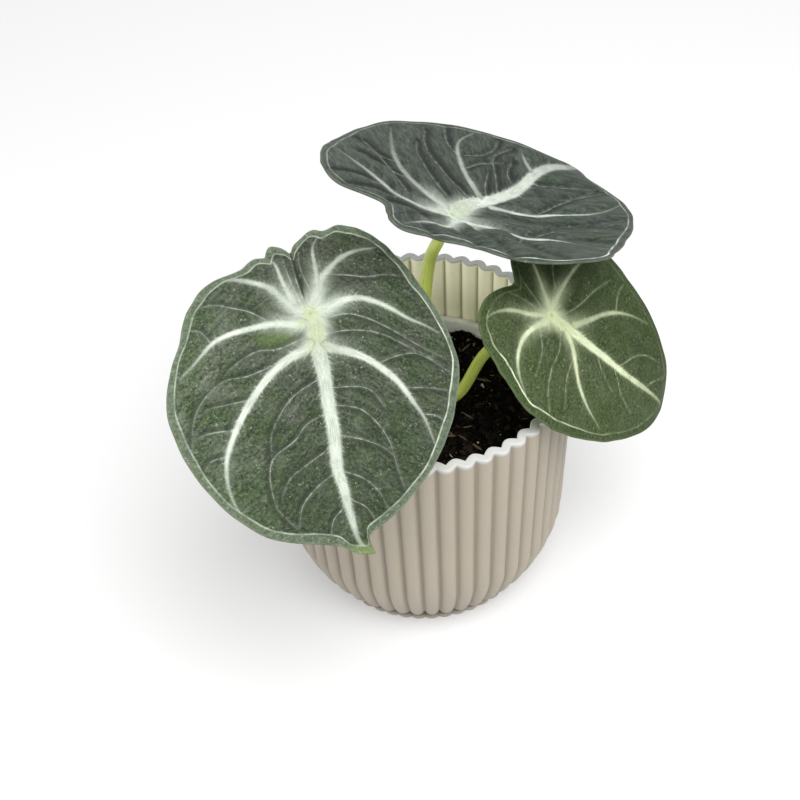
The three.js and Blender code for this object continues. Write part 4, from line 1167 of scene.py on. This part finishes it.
def silver_haze(finish, chart, tone, colour, streak, strand):
    """Silver haze beside the main veins: smooth at the joint, and in strands further out."""
    near = chart.root.between(15.0, 3.0) * (0.72 + streak * 0.28) * tone["haze"]
    soft = chart.edge.between(3.2, -0.3) * near + chart.edge.between(1.5, -0.3) * chart.shine * 0.12
    even = chart.root.between(11.0, 4.0) * (0.5 - strand * 0.5)
    return finish.mix(colour, tone["silver"], soft * (0.35 + strand * 0.65 + even) * chart.within)


def main_veins(finish, chart, tone, colour, mask):
    """Silver fibres inside the mask, patchy along the vein, and yellower on the midrib near the
    joint. Returns the colour and the fibres."""
    fibres = finish.vector(chart.edge * 4.5, chart.along * 0.35, chart.half)
    fibre = finish.noise(fibres, 1.0, 3.0, 0.7).between(0.25, 0.75)
    ahead = chart.along_map.between(-1.0, 2.0) * chart.across_map.size().between(4.0, 2.0)
    pale = finish.mix(tone["silver"], tone["glow"], chart.root.between(12.0, 2.0) * ahead * 0.8)
    pale = finish.tint(pale, 0.72 + fibre * 0.45)
    patches = finish.vector(chart.along * 0.28, chart.half, chart.edge * 0.5)
    patchy = finish.noise(patches, 1.0, 2.0).between(0.35, 0.65)
    return finish.mix(colour, pale, mask * (0.1 + chart.shine * (0.72 + patchy * 0.24))), fibre


def star_at(finish, chart, tone, colour, streak):
    """The veins' meeting place: a pale star of rays, a yellower heart and a small green dimple."""
    star = (chart.root - streak * 0.5).between(tone["star"], 0.4) * (0.88 + streak * 0.12)
    colour = finish.mix(colour, finish.tint(tone["silver"], 0.75 + streak * 0.2), star * 0.45)
    colour = finish.mix(colour, tone["glow"], chart.root.between(tone["star"] * 0.55, 0.3) * 0.5)
    return finish.mix(colour, tone["patch"], chart.root.between(0.8, 0.15) * 0.25)


# %% Leaf finish: margin and dust
def pale_margin(finish, chart, tone, colour, grain):
    """The margin: a band of its own tone, a pale line along its inner side and a light lip."""
    band = finish.tint(tone["rim"], 0.4 + grain * 0.6 + chart.broken * 0.5)
    colour = finish.mix(colour, band, chart.inner.between(0.3, -0.4) * tone["band"])
    line = chart.inner.size().between(0.28, 0.06) * finish.attribute("collective_shine")
    colour = finish.mix(colour, tone["silver"], line * (0.4 + chart.drift * 0.6) * 0.85)
    lip = finish.attribute("margin").between(0.4, 0.12)
    return finish.mix(colour, tone["lip"], lip * (0.3 + chart.drift * 0.5))


def pale_dust(finish, chart, tone):
    """Mask of fine specks in two sizes, gathered in clusters."""
    clusters = finish.noise(chart.where, 0.25, 2.0).between(0.5, 0.62)
    specks = finish.noise(chart.where, 1.5, 3.0, 0.9).between(0.6, 0.7)
    specks = specks + finish.noise(chart.where, 2.3, 2.0, 0.7).between(0.69, 0.76)
    return specks * clusters * tone["dust"]


# %% Leaf finish: the upper face
DUST_COLOUR = (0.6, 0.62, 0.58)


def leaf_face(name, tone):
    """Upper face, from the ground up: velvet, a torn green patch, side veins, haze, margin, main
    veins, the star at the joint, a painted shadow along the seam, the tip and dust."""
    finish = Finish(name)
    chart = Chart(finish)
    colour, grain, folds = velvet(finish, chart, tone)
    torn = finish.noise(chart.where, 0.8, 4.0, 0.7).between(0.24, 0.46)
    colour = finish.mix(colour, tone["patch"], finish.attribute("patch") * torn * (0.45 + grain * 0.55))
    colour = side_veins(finish, chart, tone, colour)
    streak = rays(finish, chart)
    mask, strand = strands(finish, chart)
    colour = silver_haze(finish, chart, tone, colour, streak, strand)
    colour = pale_margin(finish, chart, tone, colour, grain)
    mask = mask * chart.within
    colour, fibre = main_veins(finish, chart, tone, colour, mask)
    colour = star_at(finish, chart, tone, colour, streak)
    # Painted shadow: a dark line along the seam, where one back lobe lies over the other.
    seam = finish.attribute("seam").between(0.22, 0.05) * chart.root.between(2.5, 5.0)
    colour = finish.mix(colour, tone["deep"], seam * tone["seam"])
    tip = chart.along_map.between(tone["tip_from"], tone["tip_from"] + 3.0)
    colour = finish.mix(colour, tone["tip"], tip * (0.5 + grain * 0.5))
    dust = pale_dust(finish, chart, tone)
    colour = finish.mix(colour, DUST_COLOUR, dust)
    relief = grain * 0.06 + folds * 0.5 * tone["folds"] + mask * fibre * 0.1 + dust * 0.05
    return finish.shade(base_color=colour, roughness=0.46 + grain * 0.12 + mask * 0.1,
                        specular=tone["gloss"], sheen_weight=tone["sheen"], sheen_roughness=0.5,
                        sheen_tint=(0.86, 0.95, 0.88), normal=finish.relief(relief))


# %% Leaf finish: the lower face
def leaf_back():
    """Lower face: plain mid green, with a faint net and the pale ribs of the veins."""
    finish = Finish("leaf_back")
    where = finish.place()
    edge, branch = finish.attribute("edge"), finish.attribute("branch")
    cloud = finish.noise(where, 0.25, 4.0, 0.6)
    net = finish.borders(where, 0.5).between(0.1, 0.02)
    colour = finish.mix((0.09, 0.15, 0.045), (0.13, 0.2, 0.07), cloud)
    colour = finish.mix(colour, (0.2, 0.28, 0.11), net * 0.2)
    colour = finish.mix(colour, (0.24, 0.32, 0.14), branch.between(0.45, 0.1) * 0.6)
    colour = finish.mix(colour, (0.34, 0.4, 0.19), edge.between(0.35, -0.15) * 0.85)
    return finish.shade(base_color=colour, roughness=0.42, specular=0.45,
                        normal=finish.relief(net * 0.03 + cloud * 0.04))


# %% [markdown]
# The three leaves share one finish and differ in tone. A tone holds the colours of a leaf and
# the strengths of its patterns; star, shadow and tip_from are distances in millimetres. The
# common tone leaves out what only one leaf has: a painted sheen that lightens the ground at the
# far right, ground greener to the tip, darker behind the joint (upper), or a painted shadow
# where another leaf hangs over it (behind, shaded).

# %% Leaf finish: three tones
COMMON_TONE = {"painted_sheen": 0.0, "greener": 0.0, "upper": 0.0, "behind": 0.0, "shaded": (0.026, 0.05, 0.005)}
LEAF_TONES = {
    "left": {
        **COMMON_TONE, "painted_sheen": 0.45, "greener": 0.85, "upper": 0.24,
        "grey": (0.063, 0.076, 0.05), "green": (0.035, 0.057, 0.021), "deep": (0.012, 0.018, 0.008),
        "silver": (0.62, 0.68, 0.58), "glow": (0.43, 0.5, 0.2), "rim": (0.138, 0.178, 0.115),
        "lip": (0.17, 0.21, 0.14), "patch": (0.085, 0.135, 0.036), "tip": (0.19, 0.26, 0.085),
        "bloom": (0.1, 0.118, 0.085), "tip_from": 47.8, "star": 5.0, "shadow": 1.5,
        "furrow": 0.5, "seam": 0.8, "gloss": 0.24, "sheen": 0.06, "haze": 0.62, "folds": 0.45,
        "quilt": 0.2, "dust": 0.8, "grain": 1.05, "band": 0.6, "thin": 1.0,
    },
    "top": {
        **COMMON_TONE,
        "grey": (0.037, 0.046, 0.038), "green": (0.028, 0.042, 0.026), "deep": (0.004, 0.006, 0.004),
        "silver": (0.8, 0.87, 0.77), "glow": (0.38, 0.45, 0.26), "rim": (0.05, 0.068, 0.046),
        "lip": (0.1, 0.125, 0.09), "patch": (0.05, 0.08, 0.03), "tip": (0.1, 0.13, 0.08),
        "bloom": (0.052, 0.062, 0.052), "tip_from": 49.0, "star": 4.6, "shadow": 2.6,
        "furrow": 0.88, "seam": 0.5, "gloss": 0.22, "sheen": 0.04, "haze": 0.4, "folds": 0.85,
        "quilt": 0.45, "dust": 0.35, "grain": 0.75, "band": 0.4, "thin": 0.5,
    },
    "right": {
        **COMMON_TONE, "behind": 0.95,
        "grey": (0.09, 0.12, 0.052), "green": (0.066, 0.1, 0.033), "deep": (0.022, 0.036, 0.01),
        "silver": (0.86, 0.95, 0.64), "glow": (0.74, 0.83, 0.44), "rim": (0.045, 0.07, 0.024),
        "lip": (0.1, 0.14, 0.055), "patch": (0.08, 0.12, 0.04), "tip": (0.05, 0.08, 0.02),
        "bloom": (0.1, 0.135, 0.065), "tip_from": 60.0, "star": 4.6, "shadow": 1.3,
        "furrow": 0.15, "seam": 0.0, "gloss": 0.1, "sheen": 0.01, "haze": 0.4, "folds": 0.12,
        "quilt": 0.12, "dust": 0.7, "grain": 0.6, "band": 0.5, "thin": 0.7,
    },
}
back = leaf_back()
for side, leaf in LEAVES.items():
    blade(side, leaf, [leaf_face(f"leaf_face_{side}", LEAF_TONES[side]), back])

# %% [markdown]
# ## The stalks
#
# A stalk leaves the crown inside its sheath, bends outwards on its way up, and meets the
# blade square on from below. Its curve passes through the same few points as the frame's.
# The tube is a ring of points carried along it, wide at the sheath and at the joint.

# %% Stalks
STALKS = {  # foot on the crown, points on the way, radii at foot and top, straight lead to the joint
    "left": {"foot": (-2.5, -1.5), "way": [(-9, -6.5, 66), (-18.5, -13.5, 84)],
             "radii": (2.0, 1.5), "lead": 7},
    "top": {"foot": (0.2, 2.7), "way": [(0.8, 3, 66), (2.7, 2.3, 86), (4, 1.4, 96)],
            "radii": (1.85, 1.3), "lead": 5},
    "right": {"foot": (2.6, -1.2), "way": [(9.6, -2.6, 56.7), (16.2, -5, 72.4)],
              "radii": (1.5, 1.2), "lead": 5},
}
STALK_SIDES, STALK_STEPS = 48, 170
JOINT_DROP, STALK_FOOT = 1.9, 43.4
LEAD_DROP = 2.4  # the curve's last point but one lies this much and the lead below the joint
SHEATH, SHEATH_AT, SHEATH_SPREAD = 0.7, 2.5, 4.5  # extra radius, where along the stalk, how far
SWELLING, SWELLING_SPREAD = 0.8, 1.6  # extra radius at the joint, and how far down it reaches


def stalk_line(stalk, leaf):
    """Evenly spaced points on the stalk's curve, from the crown to the blade's underside."""
    up = blade_axes(leaf)[2]
    top = np.array(leaf["attach"])
    collar = CROWN[-1][1] + 1
    path = [(*stalk["foot"], STALK_FOOT), (*stalk["foot"], collar), *stalk["way"],
            top - up * (LEAD_DROP + stalk["lead"]), top - up * JOINT_DROP]
    line = through(path, 40)
    length = np.concatenate([[0], np.cumsum(np.linalg.norm(np.diff(line, axis=0), axis=1))])
    even = np.linspace(0, length[-1], STALK_STEPS)
    return np.stack([np.interp(even, length, line[:, k]) for k in range(3)], -1), even


def stalk(side):
    """A tube: at each step a ring in the plane across the line, its radius running from foot to
    top, plus a sheath that wraps the lowest stretch and a swelling at the joint."""
    leaf, spec = LEAVES[side], STALKS[side]
    line, run = stalk_line(spec, leaf)
    tangent = np.gradient(line, axis=0)
    tangent /= np.linalg.norm(tangent, axis=1)[:, None]
    outward = np.array([leaf["attach"][0], leaf["attach"][1], 0])
    outward = outward / np.linalg.norm(outward)
    level = np.array([-outward[1], outward[0], 0])
    front = np.cross(level, tangent)
    front /= np.linalg.norm(front, axis=1)[:, None]
    cross = np.cross(tangent, front)
    angle = circle_of(STALK_SIDES)[None, :]
    share = (run / run[-1])[:, None]
    radius = spec["radii"][0] + (spec["radii"][1] - spec["radii"][0]) * share
    sheath = SHEATH * np.exp(-((run[:, None] - SHEATH_AT) / SHEATH_SPREAD) ** 2)
    sheath = sheath * (0.5 + 0.5 * np.cos(angle)) ** 0.7
    joint = SWELLING * np.exp(-((run[-1] - run[:, None]) / SWELLING_SPREAD) ** 2)
    uneven = 0.05 * np.sin(3 * angle + run[:, None] / 9)
    radius = radius + sheath + joint + uneven
    forwards = (radius * np.cos(angle))[..., None] * front[:, None]
    sideways = (radius * np.sin(angle))[..., None] * cross[:, None]
    rings = line[:, None] + (forwards + sideways)
    points, faces = closed_skin(rings, line[0], line[-1])
    around = np.concatenate([[0], np.tile(angle[0], len(line)), [0]])
    runs = np.concatenate([[0], np.repeat(run, STALK_SIDES), [run[-1]]])
    values = {"run": runs, "left_to_go": run[-1] - runs,
              "round_x": np.cos(around), "round_y": np.sin(around)}
    new_piece(f"stalk_{side}", points, faces, [lime_stalk(f"lime_stalk_{side}")],
              [f"petiole_{side}"], values)


def lime_stalk(name):
    """Lime green skin with fine streaks along it, paler at the joint and browner at the foot."""
    finish = Finish(name)
    where = finish.place()
    run = finish.attribute("run")
    around = finish.vector(finish.attribute("round_x") * 5, finish.attribute("round_y") * 5, run * 0.09)
    streak = finish.noise(around, 1.0, 4.0, 0.6)
    fleck = finish.noise(where, 1.4, 3.0, 0.6).between(0.58, 0.72)
    colour = finish.mix((0.62, 0.7, 0.18), (0.48, 0.58, 0.085), streak.between(0.35, 0.7))
    colour = finish.mix(colour, (0.66, 0.71, 0.33), finish.attribute("left_to_go").between(7.0, 0.5) * 0.5)
    colour = finish.mix(colour, (0.4, 0.4, 0.14), run.between(16.0, 4.0) * 0.4)
    colour = finish.mix(colour, (0.3, 0.36, 0.06), fleck * 0.3)
    return finish.shade(base_color=colour, roughness=0.38, specular=0.4,
                        normal=finish.relief(streak * 0.06))


for side in STALKS:
    stalk(side)

# %% [markdown]
# ## Floor and light
#
# The plant is shown on a plain pale floor. One large soft lamp stands in front and a little
# to the right, where it models the flutes and the veins. Weak ones fill in from the left and
# from behind, and the surround is an even white. The view transform is Standard, so that the
# near-white floor stays near white and the greens keep their depth.

# %% Floor, lamps and world
FLOOR_HALF = 3.0  # metres
FLOOR_GREY, FLOOR_GLOW, SURROUND = 0.52, 0.28, 0.56
floor_mesh = bpy.data.meshes.new("floor")
corners = [(-1, -1), (1, -1), (1, 1), (-1, 1)]
floor_mesh.from_pydata([(FLOOR_HALF * x, FLOOR_HALF * y, 0) for x, y in corners], [], [(0, 1, 2, 3)])
floor = bpy.data.objects.new("floor", floor_mesh)
floor_finish = Finish("floor")
floor_finish.shade(base_color=(FLOOR_GREY,) * 3, roughness=0.9, specular=0.1,
                   emission_color=(FLOOR_GLOW,) * 3, emission_strength=1.0)
floor_mesh.materials.append(floor_finish.material)
bpy.context.scene.collection.objects.link(floor)

LAMPS = {  # place, size and watts; each lamp faces the plant
    "key": ((0.14, -0.27, 0.64), 0.45, 5.5),
    "side": ((-0.45, -0.1, 0.4), 0.4, 0.7),
    "back": ((0.1, 0.5, 0.6), 0.5, 0.8),
}
PLANT_MIDDLE = np.array([0, 0, 0.07])
for name, (place, size, watts) in LAMPS.items():
    lamp = bpy.data.objects.new(name, bpy.data.lights.new(name, "AREA"))
    lamp.data.shape, lamp.data.size, lamp.data.energy = "DISK", size, watts
    lamp.location = place
    aim = Vector(PLANT_MIDDLE - np.array(place))
    lamp.rotation_euler = aim.to_track_quat("-Z", "Y").to_euler()
    bpy.context.scene.collection.objects.link(lamp)

world = bpy.data.worlds.new("surround")
world.use_nodes = True
surround = world.node_tree.nodes["Background"]
surround.inputs["Color"].default_value = (1, 1, 1, 1)
surround.inputs["Strength"].default_value = SURROUND
bpy.context.scene.world = world
bpy.context.scene.view_settings.view_transform = "Standard"
